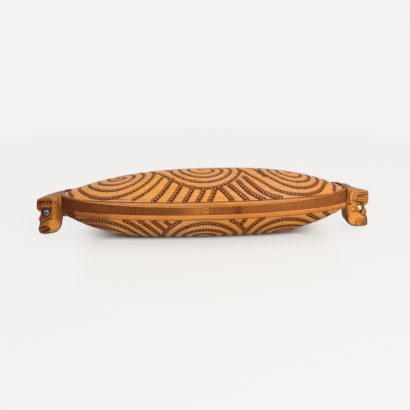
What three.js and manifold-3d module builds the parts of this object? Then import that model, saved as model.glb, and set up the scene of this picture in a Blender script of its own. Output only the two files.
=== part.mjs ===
// Wakahuia: a carved wooden treasure box in the shape of a canoe hull, with a domed lid that lifts
// off, a carved head at each end of the hull, and a shell ring with a wooden pupil in each eye.
//
// Units are millimetres. X runs along the box, -Y is the near side and Z is up. The origin is under
// the middle of the hull, on the surface that the box stands on.
//
// The hull and both heads are one block of wood, and the lid is a second one. Both are lofted from
// cross-sections whose width and height follow a few plain formulas, then hollowed.

import * as THREE from 'three';
import { mergeVertices } from 'three/addons/utils/BufferGeometryUtils.js';
import Module from 'manifold-3d';

const wasm = await Module();
wasm.setup();

// Driving dimensions of the hull
const HULL_HALF_WIDTH = 62; // at the bead, in the middle of the box
const HULL_PLAN_REACH = 219; // where the two sides would meet in a point
const HULL_END = 211; // where the hull runs into the heads
const KEEL_FLAT = 37; // half-length of the level stretch of the keel
const KEEL_RISE = 37.9; // height that the keel gains by the neck
const KEEL_POWER = 2.8;
const KEEL_WORN = 0.6; // wood taken off the lowest part, which makes the flat to stand on
const SECTION_POWER = 2.4; // 2 is an ellipse, more is boxier
const FIELD_INSET = 1.6; // carved field below the bead, set in from the bead's crest
const BAND_INSET = 0.9; // band above the bead, set in from the bead's crest
const SHEER_POWER = 2.6; // how late the rim starts to rise towards the ends

// Heights of the horizontal lines on the hull, in the middle of the box and at its ends
const BEAD_BOTTOM = { middle: 37, end: 40 };
const BAND_BOTTOM = { middle: 44.2, end: 46.5 };
const RIM_TOP = { middle: 56.3, end: 66 };

// Hollow and seat for the lid
const SEAT_HEIGHT = 52.8; // level ledge that the lid rests on
const SEAT_HALF_WIDTH = 58.8;
const SEAT_PLAN_REACH = 211.9;
const SEAT_END = 208.7;
const HOLLOW_HALF_WIDTH = 53;
const HOLLOW_PLAN_REACH = 196;
const HOLLOW_END = 192;
const HOLLOW_FLOOR = 10; // thickness of wood under the hollow

// Lid
const LID_HALF_WIDTH = 58.4;
const LID_PLAN_REACH = 211.5;
const LID_END = 208.3;
const LID_GAP = 0.3; // between the lid and its ledge
const BORDER_TOP = 63; // top of the plain border round the lid
const BORDER_STEP = 0.8; // border stands proud of the dome by this much
const CROWN_MIDDLE = 97;
const CROWN_END = 66;
const CROWN_REACH = 208;
const CROWN_POWER = 2.72;
const CROWN_SHIFT = 14.8; // the highest point lies this far towards +X
const DOME_SPREAD_POWER = 2.2;
const DOME_HEIGHT_POWER = 1.7;
const LID_WALL = 9.4;
const LID_CROWN_THICKNESS = 9;
const LID_HOLLOW_END = 188;
const LID_HOLLOW_REACH = 194;

// Heads
const NECK_ROOT = 203; // the neck starts inside the hull's end
const NECK_HALF_WIDTH = 13;
const NECK_TOP = 65.6;
const HEAD_BACK = 212.4; // the head steps out from the neck here, then narrows to the brow's edge
const BROW_FRONT = 249;
const HEAD_HALF_WIDTH_BACK = 17.7;
const HEAD_HALF_WIDTH_FRONT = 2;
const SOCKET_DEPTH = 3.2;
const MOUTH_DEPTH = 1.4;
const CHEEK = { x: 228, y: 8.6, z: 16, long: 12.6, wide: 6, high: 11 };
const CUT_REACH = 12; // how far a cutting shape stands out of the wood
const EYE = {
  ringRadius: 4.6,
  holeRadius: 1.5,
  thickness: 1.6,
  pegRadius: 1.2,
  pegLength: 2.6,
  gap: 0.3,
  sides: 24,
};

// The two heads were cut by eye, so each has its own outline. `x` is the distance from the middle
// of the box. The brow's cuts stand upright in a row on the left head and lie flat on the right one.
const HEADS = [
  {
    side: 'left',
    direction: -1,
    eye: { x: 237, z: 37.6 },
    brow: { top: 55, foot: 41.6 },
    bridge: { x: 244.4, z: 37.6 },
    nose: { x: 248, z: 26.6 },
    lip: { x: 245.6, z: 20.4 },
    mouth: { x: 242, z: 10.2 },
    chin: { front: 248.6, x: 240, z: 4.2 },
    jaw: { x: 212.6, z: 33 },
    cuts: { count: 6, from: 228.6, to: 246.4, z: 51.6, step: -0.12, wide: 1.5, high: 5.4 },
  },
  {
    side: 'right',
    direction: 1,
    eye: { x: 237.6, z: 32.8 },
    brow: { top: 57.6, foot: 40.6 },
    bridge: { x: 244.8, z: 36 },
    nose: { x: 248.6, z: 25.4 },
    lip: { x: 246.6, z: 20 },
    mouth: { x: 241.6, z: 9.6 },
    chin: { front: 249, x: 242, z: 3.6 },
    jaw: { x: 212.8, z: 30 },
    cuts: { count: 3, from: 239, to: 239, z: 54.6, step: 3.9, wide: 16, high: 1.3 },
  },
];

// Shared formulas

// A value that is `line.middle` in the middle of the box and climbs to `line.end` at the neck.
function sheer(line, x) {
  return line.middle + (line.end - line.middle) * Math.abs(x / HULL_END) ** SHEER_POWER;
}

// Half-width of a lens-shaped plan whose sides would meet at x = reach.
function lens(halfWidth, reach, x) {
  return halfWidth * Math.sqrt(1 - (x / reach) ** 2);
}

function keelHeight(x) {
  const past = Math.max(Math.abs(x) - KEEL_FLAT, 0) / (HULL_END - KEEL_FLAT);
  return KEEL_RISE * past ** KEEL_POWER - KEEL_WORN;
}

function crownHeight(x) {
  const shifted = Math.abs(x - CROWN_SHIFT * (1 - (x / CROWN_REACH) ** 2)) / CROWN_REACH;
  return CROWN_END + (CROWN_MIDDLE - CROWN_END) * (1 - Math.min(shifted, 1) ** CROWN_POWER);
}

// Stations along the box, closer together towards the ends, where the plan turns fastest.
function stations(end, count) {
  const places = [];
  for (let i = 0; i <= count; i += 1) {
    places.push(end * Math.sin(Math.PI * (i / count - 0.5)));
  }
  return places;
}

// Mirrors the +Y half of a section, listed from its lowest point on the middle line upwards.
function wholeSection(half) {
  const mirrored = half.slice(1, -1).reverse().map(([y, z]) => [-y, z]);
  return half.concat(mirrored);
}

function middleHeight(ring) {
  const heights = ring.map(([, z]) => z);
  return (Math.min(...heights) + Math.max(...heights)) / 2;
}

// Closed skin through one section per station, with flat ends.
function loft(places, sectionAt) {
  const rings = places.map((x) => wholeSection(sectionAt(x)));
  const size = rings[0].length;
  const positions = [];
  rings.forEach((ring, i) => ring.forEach(([y, z]) => positions.push(places[i], y, z)));
  const index = [];
  for (let i = 0; i + 1 < rings.length; i += 1) {
    for (let j = 0; j < size; j += 1) {
      const a = i * size + j;
      const b = i * size + ((j + 1) % size);
      index.push(a, b, a + size, b, b + size, a + size);
    }
  }
  const last = (rings.length - 1) * size;
  const firstCentre = positions.length / 3;
  positions.push(places[0], 0, middleHeight(rings[0]));
  positions.push(places[places.length - 1], 0, middleHeight(rings[rings.length - 1]));
  for (let j = 0; j < size; j += 1) {
    const next = (j + 1) % size;
    index.push(firstCentre, next, j);
    index.push(firstCentre + 1, last + j, last + next);
  }
  const geometry = new THREE.BufferGeometry();
  geometry.setAttribute('position', new THREE.Float32BufferAttribute(positions, 3));
  geometry.setIndex(index);
  return geometry;
}

// A three.js geometry as a solid that can be joined and cut, and back again
function solid(geometry) {
  const bare = geometry.clone();
  bare.deleteAttribute('normal');
  bare.deleteAttribute('uv');
  const merged = mergeVertices(bare, 1e-4);
  return new wasm.Manifold(new wasm.Mesh({
    numProp: 3,
    vertProperties: new Float32Array(merged.attributes.position.array),
    triVerts: new Uint32Array(merged.index.array),
  }));
}

function geometryOf(body) {
  const mesh = body.getMesh();
  const geometry = new THREE.BufferGeometry();
  geometry.setAttribute('position', new THREE.BufferAttribute(mesh.vertProperties, 3));
  geometry.setIndex(new THREE.BufferAttribute(mesh.triVerts, 1));
  geometry.computeVertexNormals();
  return geometry;
}

// A curved quarter of a section: from the middle line at `low` round to `halfWidth` at `high`.
function quarter(halfWidth, low, high, steps) {
  const points = [];
  for (let i = 0; i <= steps; i += 1) {
    const turn = (Math.PI / 2) * (i / steps);
    const y = halfWidth * Math.sin(turn) ** (2 / SECTION_POWER);
    const z = high - (high - low) * Math.cos(turn) ** (2 / SECTION_POWER);
    points.push([y, z]);
  }
  return points;
}

// Hull

function hullSection(x) {
  const crest = lens(HULL_HALF_WIDTH, HULL_PLAN_REACH, x);
  const beadBottom = sheer(BEAD_BOTTOM, x);
  const bandBottom = sheer(BAND_BOTTOM, x);
  const top = sheer(RIM_TOP, x);
  const bead = bandBottom - beadBottom;
  const field = quarter(crest - FIELD_INSET, keelHeight(x), beadBottom, 9);
  return [
    ...field.map(([y, z]) => [y, Math.max(z, 0)]),
    [crest - 0.35 * FIELD_INSET, beadBottom + 0.1 * bead],
    [crest, beadBottom + 0.4 * bead],
    [crest, beadBottom + 0.65 * bead],
    [crest - 0.4 * BAND_INSET, bandBottom - 0.08 * bead],
    [crest - BAND_INSET, bandBottom],
    [crest - BAND_INSET, top - 0.8],
    [crest - BAND_INSET - 0.8, top],
    [0, top],
  ];
}

function hollowSection(x) {
  const halfWidth = lens(HOLLOW_HALF_WIDTH, HOLLOW_PLAN_REACH, x);
  const floor = Math.max(keelHeight(x), 0) + HOLLOW_FLOOR;
  const above = RIM_TOP.end + 10;
  return [...quarter(halfWidth, floor, SEAT_HEIGHT, 8), [halfWidth, above], [0, above]];
}

// The recess in the rim that the lid drops into: the lid's plan, open at the top
function seatSection(x) {
  const halfWidth = lens(SEAT_HALF_WIDTH, SEAT_PLAN_REACH, x);
  const above = RIM_TOP.end + 10;
  return [[0, SEAT_HEIGHT], [halfWidth, SEAT_HEIGHT], [halfWidth, above], [0, above]];
}

// Head: side profile, plan, cheeks, sockets and mouth. Each is drawn for the +X end.

function headProfile({ brow, bridge, nose, lip, chin, jaw }) {
  const shape = new THREE.Shape();
  shape.moveTo(NECK_ROOT, NECK_TOP);
  shape.lineTo(HEAD_BACK, NECK_TOP);
  shape.quadraticCurveTo(232, brow.top + 6.4, BROW_FRONT, brow.top);
  shape.lineTo(BROW_FRONT, brow.foot);
  shape.quadraticCurveTo(BROW_FRONT, bridge.z + 1, bridge.x, bridge.z);
  shape.quadraticCurveTo(bridge.x, nose.z + 4, nose.x - 0.8, nose.z + 1.6);
  shape.quadraticCurveTo(nose.x + 0.6, nose.z - 2.6, lip.x, lip.z);
  shape.quadraticCurveTo(chin.front, lip.z - 2, chin.front, chin.z + 8);
  shape.quadraticCurveTo(chin.front - 0.6, chin.z + 0.8, chin.x, chin.z);
  shape.quadraticCurveTo(chin.x - 10, chin.z + 0.4, 223, chin.z + 5.6);
  shape.quadraticCurveTo(jaw.x + 1.6, chin.z + 12, jaw.x, jaw.z);
  shape.lineTo(NECK_ROOT, 36);
  shape.closePath();
  return shape;
}

function extrudeUpright(shape, from, to) {
  const geometry = new THREE.ExtrudeGeometry(shape, {
    depth: to - from,
    bevelEnabled: false,
    curveSegments: 6,
  });
  return geometry.translate(0, 0, from);
}

function headPlan() {
  const shape = new THREE.Shape();
  shape.moveTo(NECK_ROOT, -NECK_HALF_WIDTH);
  shape.lineTo(HEAD_BACK, -NECK_HALF_WIDTH);
  shape.lineTo(HEAD_BACK, -HEAD_HALF_WIDTH_BACK);
  shape.lineTo(BROW_FRONT, -HEAD_HALF_WIDTH_FRONT);
  shape.lineTo(BROW_FRONT, HEAD_HALF_WIDTH_FRONT);
  shape.lineTo(HEAD_BACK, HEAD_HALF_WIDTH_BACK);
  shape.lineTo(HEAD_BACK, NECK_HALF_WIDTH);
  shape.lineTo(NECK_ROOT, NECK_HALF_WIDTH);
  shape.closePath();
  return shape;
}

const WEDGE_ANGLE = Math.atan2(
  HEAD_HALF_WIDTH_BACK - HEAD_HALF_WIDTH_FRONT,
  BROW_FRONT - HEAD_BACK,
);

// Half-width of the head's flat side at a distance x from the middle of the box
function wedgeHalfWidth(x) {
  return HEAD_HALF_WIDTH_FRONT + (BROW_FRONT - x) * Math.tan(WEDGE_ANGLE);
}

// A geometry drawn flat, with its +Z pointing out of the wood, set on the head's side.
// `across` is +1 for the far side and -1 for the near side.
function onCheek(geometry, x, z, across, depth) {
  const outward = new THREE.Vector3(Math.sin(WEDGE_ANGLE), across * Math.cos(WEDGE_ANGLE), 0);
  const up = new THREE.Vector3(0, 0, 1);
  const along = new THREE.Vector3().crossVectors(up, outward);
  const place = new THREE.Matrix4().makeBasis(along, up, outward);
  place.setPosition(
    x - depth * outward.x,
    across * wedgeHalfWidth(x) - depth * outward.y,
    z,
  );
  return geometry.clone().applyMatrix4(place);
}

// Full cheek, low on the head's flat side
function cheek(across) {
  return new THREE.SphereGeometry(1, 18, 12)
    .scale(CHEEK.long, CHEEK.wide, CHEEK.high)
    .translate(CHEEK.x, across * CHEEK.y, CHEEK.z);
}

// Three-cornered hollow under the brow. `across` turns its long corner towards the nose.
function socketOutline(across) {
  const s = -across;
  const shape = new THREE.Shape();
  shape.moveTo(s * 7.5, 1.5);
  shape.quadraticCurveTo(s * 1, 8.4, s * -9, 6.6);
  shape.quadraticCurveTo(s * -10.4, 5.6, s * -9, 3.6);
  shape.quadraticCurveTo(s * -3, -7, s * 5.4, -9.4);
  shape.quadraticCurveTo(s * 8.6, -7.6, s * 7.5, 1.5);
  return shape;
}

// Open mouth low on the front of the head, seen from the side as a slanted oval
function mouthOutline(across) {
  const shape = new THREE.Shape();
  shape.absellipse(0, 0, 6.6, 3.6, 0, Math.PI * 2, false, -across * 0.45);
  return shape;
}

// The brow's cuts, as the upright bars that are taken out of its side
function browCuts({ count, from, to, z, step, wide, high }, across) {
  const bars = [];
  for (let i = 0; i < count; i += 1) {
    const share = count > 1 ? i / (count - 1) : 0;
    const bar = new THREE.BoxGeometry(wide, high, 2 * MOUTH_DEPTH);
    bars.push(onCheek(bar, from + (to - from) * share, z + (i - (count - 1) / 2) * step, across, 0));
  }
  return bars;
}

function head(form) {
  const { eye, mouth, cuts } = form;
  const profile = solid(extrudeUpright(headProfile(form), -24, 24).rotateX(Math.PI / 2));
  let body = profile.intersect(solid(extrudeUpright(headPlan(), 0, 72)));
  for (const across of [1, -1]) {
    body = body.add(solid(cheek(across)));
  }
  body = body.intersect(profile);
  for (const across of [1, -1]) {
    const socket = extrudeUpright(socketOutline(across), 0, CUT_REACH);
    body = body.subtract(solid(onCheek(socket, eye.x, eye.z - 1, across, SOCKET_DEPTH)));
    const seatRadius = EYE.ringRadius + EYE.gap;
    const seat = new THREE.CylinderGeometry(seatRadius, seatRadius, CUT_REACH, EYE.sides)
      .rotateX(Math.PI / 2)
      .translate(0, 0, CUT_REACH / 2);
    const seatDepth = SOCKET_DEPTH + EYE.thickness;
    body = body.subtract(solid(onCheek(seat, eye.x, eye.z, across, seatDepth)));
    const opening = extrudeUpright(mouthOutline(across), 0, CUT_REACH);
    body = body.subtract(solid(onCheek(opening, mouth.x, mouth.z, across, MOUTH_DEPTH)));
    for (const bar of browCuts(cuts, across)) {
      body = body.subtract(solid(bar));
    }
  }
  return body;
}

function boxBase() {
  let body = solid(loft(stations(HULL_END, 44), hullSection));
  for (const form of HEADS) {
    const turned = geometryOf(head(form)).rotateZ(form.direction > 0 ? 0 : Math.PI);
    body = body.add(solid(turned));
  }
  body = body.subtract(solid(loft(stations(HOLLOW_END, 30), hollowSection)));
  body = body.subtract(solid(loft(stations(SEAT_END, 36), seatSection)));
  return geometryOf(body);
}

// Lid

function lidSection(x) {
  const border = lens(LID_HALF_WIDTH, LID_PLAN_REACH, x);
  const foot = border - BORDER_STEP;
  const crown = crownHeight(x);
  const bottom = SEAT_HEIGHT + LID_GAP;
  const dome = [];
  const steps = 10;
  for (let i = 0; i <= steps; i += 1) {
    const spread = Math.cos((Math.PI / 2) * (i / steps));
    const lift = (1 - spread ** DOME_SPREAD_POWER) ** (1 / DOME_HEIGHT_POWER);
    dome.push([foot * spread, BORDER_TOP + (crown - BORDER_TOP) * lift]);
  }
  dome[steps] = [0, crown];
  return [
    [0, bottom],
    [border, bottom],
    [border, BORDER_TOP - 1],
    [border - 0.3, BORDER_TOP - 0.3],
    ...dome,
  ];
}

function lidHollowSection(x) {
  const halfWidth = lens(LID_HALF_WIDTH - LID_WALL, LID_HOLLOW_REACH, x);
  const roof = Math.max(crownHeight(x) - LID_CROWN_THICKNESS, SEAT_HEIGHT + 6);
  const below = SEAT_HEIGHT - 10;
  const springing = SEAT_HEIGHT + 4;
  const steps = 8;
  const vault = [];
  for (let i = 0; i <= steps; i += 1) {
    const turn = (Math.PI / 2) * (i / steps);
    vault.push([halfWidth * Math.cos(turn), springing + (roof - springing) * Math.sin(turn)]);
  }
  vault[steps] = [0, roof];
  return [[0, below], [halfWidth, below], ...vault];
}

function lid() {
  const outside = solid(loft(stations(LID_END, 40), lidSection));
  const inside = solid(loft(stations(LID_HOLLOW_END, 28), lidHollowSection));
  return geometryOf(outside.subtract(inside));
}

// Eyes

function eyeRing() {
  const shape = new THREE.Shape();
  shape.absarc(0, 0, EYE.ringRadius, 0, Math.PI * 2, false);
  const hole = new THREE.Path();
  hole.absarc(0, 0, EYE.holeRadius, 0, Math.PI * 2, true);
  shape.holes.push(hole);
  return new THREE.ExtrudeGeometry(shape, {
    depth: EYE.thickness - EYE.gap,
    bevelEnabled: false,
    curveSegments: EYE.sides / 2,
  });
}

// Peg with a rounded head, standing in the ring's hole
function pupilPeg() {
  const dome = EYE.pegRadius * 0.35;
  const profile = [
    new THREE.Vector2(0, 0),
    new THREE.Vector2(EYE.pegRadius, 0),
    new THREE.Vector2(EYE.pegRadius, EYE.pegLength - dome),
    new THREE.Vector2(EYE.pegRadius * 0.7, EYE.pegLength - dome * 0.3),
    new THREE.Vector2(0, EYE.pegLength),
  ];
  return new THREE.LatheGeometry(profile, 12).rotateX(Math.PI / 2);
}

// Materials

const wood = new THREE.MeshStandardMaterial({ color: 0xb9713a, roughness: 0.45, metalness: 0 });
const lidWood = new THREE.MeshStandardMaterial({ color: 0xcf8a50, roughness: 0.42, metalness: 0 });
const shell = new THREE.MeshStandardMaterial({ color: 0x7fb0b8, roughness: 0.2, metalness: 0.1 });
const darkWood = new THREE.MeshStandardMaterial({ color: 0x3a2013, roughness: 0.5, metalness: 0 });

// Assembly

const wakahuia = new THREE.Group();

function place(name, geometry, material) {
  const mesh = new THREE.Mesh(geometry, material);
  mesh.name = name;
  wakahuia.add(mesh);
}

place('box_base', boxBase(), wood);
place('lid', lid(), lidWood);

for (const { side, direction, eye } of HEADS) {
  for (const across of [1, -1]) {
    // The left head is the right one turned half round, which swaps its near and far sides.
    const facing = across * direction > 0 ? 'back' : 'front';
    const turn = direction > 0 ? 0 : Math.PI;
    const depth = SOCKET_DEPTH + EYE.thickness - EYE.gap;
    const ring = onCheek(eyeRing(), eye.x, eye.z, across, depth).rotateZ(turn);
    const peg = onCheek(pupilPeg(), eye.x, eye.z, across, depth).rotateZ(turn);
    place(`eye_shell_${side}_${facing}`, ring, shell);
    place(`pupil_peg_${side}_${facing}`, peg, darkWood);
  }
}

export default wakahuia;
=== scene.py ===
# %% [markdown]
# A wakahuia is a carved wooden box for feathers and other treasures. This one is shaped like a canoe hull,
# with a domed lid that lifts straight off and a carved head at each end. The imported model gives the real
# sizes and the two bodies that move apart, `base` and `lid`. This script makes the carved surface around
# it.

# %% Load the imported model
import math
import bmesh
import bpy
import numpy as np
import openvdb
from mathutils import Matrix, Vector


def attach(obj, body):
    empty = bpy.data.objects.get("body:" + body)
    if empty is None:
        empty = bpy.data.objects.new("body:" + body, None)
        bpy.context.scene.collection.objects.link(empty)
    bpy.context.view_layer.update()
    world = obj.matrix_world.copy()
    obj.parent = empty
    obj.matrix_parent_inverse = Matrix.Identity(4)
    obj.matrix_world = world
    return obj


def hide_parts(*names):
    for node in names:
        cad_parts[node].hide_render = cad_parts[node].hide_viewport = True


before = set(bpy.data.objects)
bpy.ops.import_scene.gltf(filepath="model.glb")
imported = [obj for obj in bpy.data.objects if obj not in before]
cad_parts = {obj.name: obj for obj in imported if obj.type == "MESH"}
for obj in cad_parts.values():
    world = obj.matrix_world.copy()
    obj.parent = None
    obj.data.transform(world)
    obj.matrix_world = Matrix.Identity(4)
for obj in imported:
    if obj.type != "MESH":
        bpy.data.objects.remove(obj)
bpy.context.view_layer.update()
print("nodes", sorted(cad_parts))

# %% [markdown]
# Every length below is in millimetres, as a carver would measure it, and each finished mesh is turned into
# metres at the end. The same few formulas that shape the solid model shape the fine surface: a lens for
# the plan, a power curve for the rising keel, and a flattened arch for the dome. Only the ends of the rim
# and keel differ, so each height is given for the middle of the box and for its ends.

# %% Driving dimensions
MM = 0.001
TO_METRES = Matrix.Scale(MM, 4)
HULL_HALF_WIDTH, HULL_REACH, HULL_END = 62.0, 219.0, 211.0
KEEL_FLAT, KEEL_RISE, KEEL_POWER, KEEL_WORN = 37.0, 37.9, 2.8, 0.6
SECTION_POWER, SHEER_POWER = 2.4, 2.6
FIELD_INSET, BAND_INSET = 1.6, 0.9
BEAD_BOTTOM, BAND_BOTTOM, RIM_TOP = (37.0, 40.0), (44.2, 46.5), (56.3, 66.0)
SEAT_HEIGHT, SEAT_HALF_WIDTH, SEAT_REACH, SEAT_END = 52.8, 58.8, 211.9, 208.7
HOLLOW_HALF_WIDTH, HOLLOW_REACH, HOLLOW_END, HOLLOW_FLOOR = 53.0, 196.0, 192.0, 10.0
LID_HALF_WIDTH, LID_REACH, LID_END, LID_BOTTOM = 58.4, 211.5, 208.3, 53.1
BORDER_TOP, BORDER_STEP = 63.0, 0.8
CROWN_MIDDLE, CROWN_END, CROWN_REACH, CROWN_POWER, CROWN_SHIFT = 97.0, 66.0, 208.0, 2.72, 14.8
DOME_SPREAD_POWER, DOME_HEIGHT_POWER = 2.2, 1.7
VAULT_HALF_WIDTH, VAULT_REACH, VAULT_END, VAULT_SPRING, LID_THICKNESS = 49.0, 194.0, 188.0, 56.8, 9.0


def sheer(line, x):
    return line[0] + (line[1] - line[0]) * np.abs(x / HULL_END) ** SHEER_POWER


def lens(half_width, reach, x):
    return half_width * np.sqrt(1 - (x / reach) ** 2)


def keel(x):
    past = np.maximum(np.abs(x) - KEEL_FLAT, 0) / (HULL_END - KEEL_FLAT)
    return KEEL_RISE * past ** KEEL_POWER - KEEL_WORN


def crown(x):
    shifted = np.abs(x - CROWN_SHIFT * (1 - (x / CROWN_REACH) ** 2)) / CROWN_REACH
    return CROWN_END + (CROWN_MIDDLE - CROWN_END) * (1 - np.minimum(shifted, 1) ** CROWN_POWER)


print("rim height in the middle and at the neck", sheer(RIM_TOP, 0.0), sheer(RIM_TOP, HULL_END))

# %% [markdown]
# The camera comes next. The box is 498 mm long and fills most of the picture, and the long lens keeps its
# ends from swelling.

# %% Camera
CAMERA_PLACE = Vector((-0.1263, -1.3483, 0.4130))
CAMERA_AIM = Vector((0.0, 0.0, 0.0425))
CAMERA_LENS = 82.1

camera = bpy.data.objects.new("camera", bpy.data.cameras.new("camera"))
camera.data.lens = CAMERA_LENS
camera.data.sensor_width = 36.0
camera.location = CAMERA_PLACE
camera.rotation_euler = (CAMERA_AIM - CAMERA_PLACE).to_track_quat("-Z", "Y").to_euler()
bpy.context.scene.collection.objects.link(camera)
bpy.context.scene.camera = camera
bpy.context.scene.view_settings.view_transform = "Standard"
print("camera distance", round((CAMERA_PLACE - CAMERA_AIM).length, 3))

# %% [markdown]
# Both blocks of wood are built the same way: an outer skin of cross-sections, an inner skin for the
# hollow, and a flat lip that joins the two. The skins are plain grids of points, so one helper can turn
# grids into a closed mesh. A helper also keeps named values on the points. `flat` is where a point lies on
# the wood if the skin is unrolled, which is how the pattern is drawn, `field` is 1 where the carver cut,
# and `stain` is how dark the wood is: its stain, and at some places painted shade.

# %% Helpers for closed skins
def grid_faces(numbers):
    corners = (numbers[:-1, :-1], numbers[1:, :-1], numbers[1:, 1:], numbers[:-1, 1:])
    return np.stack(corners, -1).reshape(-1, 4).tolist()


def numbered(skin, first=0):
    return np.arange(first, first + skin.shape[0] * skin.shape[1]).reshape(skin.shape[:2])


def tube_faces(numbers, capped=True):
    """Faces of a tube. Each row of the grid is one loop round it, and the caps close its two ends."""
    faces = grid_faces(np.concatenate([numbers, numbers[:, :1]], 1))
    if capped:
        faces += [numbers[0].tolist(), numbers[-1].tolist()]
    return faces


def closed_mesh(name, points, faces, values):
    mesh = bpy.data.meshes.new(name)
    mesh.from_pydata(points.reshape(-1, 3).tolist(), [], faces)
    for key, value in values.items():
        kind, part = ("FLOAT_VECTOR", "vector") if value.ndim == 2 else ("FLOAT", "value")
        attribute = mesh.attributes.new(key, kind, "POINT")
        attribute.data.foreach_set(part, value.astype(np.float32).ravel())
    shell = bmesh.new()
    shell.from_mesh(mesh)
    bmesh.ops.recalc_face_normals(shell, faces=shell.faces)
    shell.to_mesh(mesh)
    shell.free()
    mesh.shade_smooth()
    return mesh


def in_scene(name, data):
    thing = bpy.data.objects.new(name, data)
    bpy.context.scene.collection.objects.link(thing)
    return thing


def hollow_block(name, outer, inner, values):
    """A block with an outer skin and a hollow. Both skins run from the near edge across to the far edge."""
    a = numbered(outer)
    b = numbered(inner, a.size)
    faces = grid_faces(a) + grid_faces(b)
    faces += grid_faces(np.stack([a[:, 0], b[:, 0]])) + grid_faces(np.stack([a[:, -1], b[:, -1]]))
    for end in (0, -1):
        faces += [a[end].tolist(), b[end].tolist()]
        faces.append([a[end, 0], a[end, -1], b[end, -1], b[end, 0]])
    points = np.concatenate([outer.reshape(-1, 3), inner.reshape(-1, 3)])
    padded = {}
    for key, value in values.items():
        rest = np.zeros((b.size,) + value.shape[1:]) + (value[0] if value.ndim == 2 else 0)
        padded[key] = np.concatenate([value, rest])
    return closed_mesh(name, points, faces, padded)


# %% [markdown]
# The dome's cross-section is an arch that is steep at the foot and almost flat on top. The pattern keeps
# its width as it goes over the crown, so it is laid out by the length of the arc and not by height. Each
# cross-section is therefore measured first, and its rows are set at equal steps of arc length.

# %% Blank of the lid
LID_COLUMNS, DOME_ROWS, HOLLOW_ROWS = 486, 160, 41
FAR_SHEET = 1000.0
LOWEST_ROOF = SEAT_HEIGHT + 6
SCRATCH = {"stain": 0.85, "from_foot": 3.2, "half_width": 0.55, "start": -166.0, "end": -104.0}


def dome_section(x, count=240):
    """Arc length from the crown, half-width and height of one cross-section, from the crown to the foot."""
    spread = np.sin(np.linspace(0, math.pi / 2, count))
    rise = (1 - spread ** DOME_SPREAD_POWER) ** (1 / DOME_HEIGHT_POWER)
    across = (lens(LID_HALF_WIDTH, LID_REACH, x) - BORDER_STEP) * spread
    height = BORDER_TOP + (crown(x) - BORDER_TOP) * rise
    arc = np.concatenate([[0], np.cumsum(np.hypot(np.diff(across), np.diff(height)))])
    return arc, across, height


def border_rows(x):
    """The lid's plain border: half-width, height and stain. An engraved line sets it off from the dome."""
    edge = lens(LID_HALF_WIDTH, LID_REACH, x)
    tall = BORDER_TOP - LID_BOTTOM
    line = [(BORDER_STEP, 0.0, 0.1), (1.05, 0.4, 1.0), (0.95, 1.1, 1.0), (0.25, 1.55, 0.35)]
    face = [(0.05, 1.8, 0.05), (0.0, 2.5, 0.1), (0.0, 4.2, 0.14), (0.05, 5.8, 0.18), (0.2, 7.6, 0.3)]
    foot = [(0.3, tall - 0.5, 0.4), (0.7, tall, 0.4)]
    return [(edge - inset, BORDER_TOP - down, stain) for inset, down, stain in line + face + foot]


def scratch(x, from_foot):
    """A short second line that was engraved above the border at the left end, on the near side."""
    away = (from_foot - SCRATCH["from_foot"]) / SCRATCH["half_width"]
    return SCRATCH["stain"] * np.exp(-away ** 2) * (SCRATCH["start"] < x < SCRATCH["end"])


def lid_blank():
    columns = np.linspace(-LID_END, LID_END, LID_COLUMNS)
    steps = np.linspace(-1, 1, DOME_ROWS)
    skin, flat, field, stain, edges = [], [], [], [], []
    for x in columns:
        arc, across, height = dome_section(x)
        edges.append(arc[-1])
        laid = steps * arc[-1]
        width = np.interp(np.abs(laid), arc, across) * np.sign(steps)
        level = np.interp(np.abs(laid), arc, height)
        border = np.array(border_rows(x))
        far, near = border[::-1], border
        y = np.concatenate([far[:, 0], -width, -near[:, 0]])
        z = np.concatenate([far[:, 1], level, near[:, 1]])
        below = np.arange(1, len(border) + 1)
        laid = np.concatenate([laid[0] - below[::-1], laid, laid[-1] + below])
        skin.append(np.column_stack([np.full(len(y), x), y, z]))
        flat.append(np.column_stack([np.full(len(y), x), laid, np.zeros(len(y))]))
        field.append(np.concatenate([far[:, 0] * 0, np.ones(DOME_ROWS), near[:, 0] * 0]))
        stain.append(np.concatenate([far[:, 2], scratch(x, arc[-1] * (1 - steps)), near[:, 2]]))
    turns = np.linspace(0, math.pi, HOLLOW_ROWS)
    vault = []
    for x in columns * VAULT_END / LID_END:
        half = lens(VAULT_HALF_WIDTH, VAULT_REACH, x)
        roof = max(crown(x) - LID_THICKNESS, LOWEST_ROOF)
        y = half * np.cos(turns)
        z = VAULT_SPRING + (roof - VAULT_SPRING) * np.sin(turns)
        y, z = np.concatenate([[half], y, [-half]]), np.concatenate([[LID_BOTTOM], z, [LID_BOTTOM]])
        vault.append(np.column_stack([np.full(len(y), x), y, z]))
    values = {
        "flat": np.concatenate(flat),
        "field": np.concatenate(field),
        "stain": np.concatenate(stain),
    }
    return hollow_block("lid_blank", np.array(skin), np.array(vault), values), columns, np.array(edges)


lid_mesh, lid_columns, lid_edges = lid_blank()
print("lid blank has", len(lid_mesh.polygons), "faces")
print("its longest arc is", round(float(lid_edges.max()), 1), "mm a side")

# %% [markdown]
# The hull is the same idea upside down. Its carved field runs from the bead under the rim down to the
# keel, and the pattern is measured from the bead, as the photograph shows the rings hanging below it. The
# two sides are unrolled apart from each other: the far side's sheet is moved a metre along, so that lines
# drawn on one don't cut the other.

# %% Blank of the hull below the rim
HULL_COLUMNS, SIDE_ROWS = 468, 84
UNDER_BEAD = 1.2
# Painted shadow: the hull is darkened within a few millimetres of the floor, standing in for its contact
# shadow.
CONTACT_SHADOW_HEIGHTS, PAINTED_CONTACT_SHADOW = (0.0, 3.0, 7.0), (1.0, 0.8, 0.0)
# Painted shade: the left end of the hull and of the rim's bead is darkened, as the light falls from the
# right.
LEFT_SHADE_PLACES, PAINTED_LEFT_SHADE = (-211, -206, -197, -190, -160, -147, -134), (0.75, 1.0, 1.0, 0.62, 0.52, 0.45, 0.0)


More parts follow.
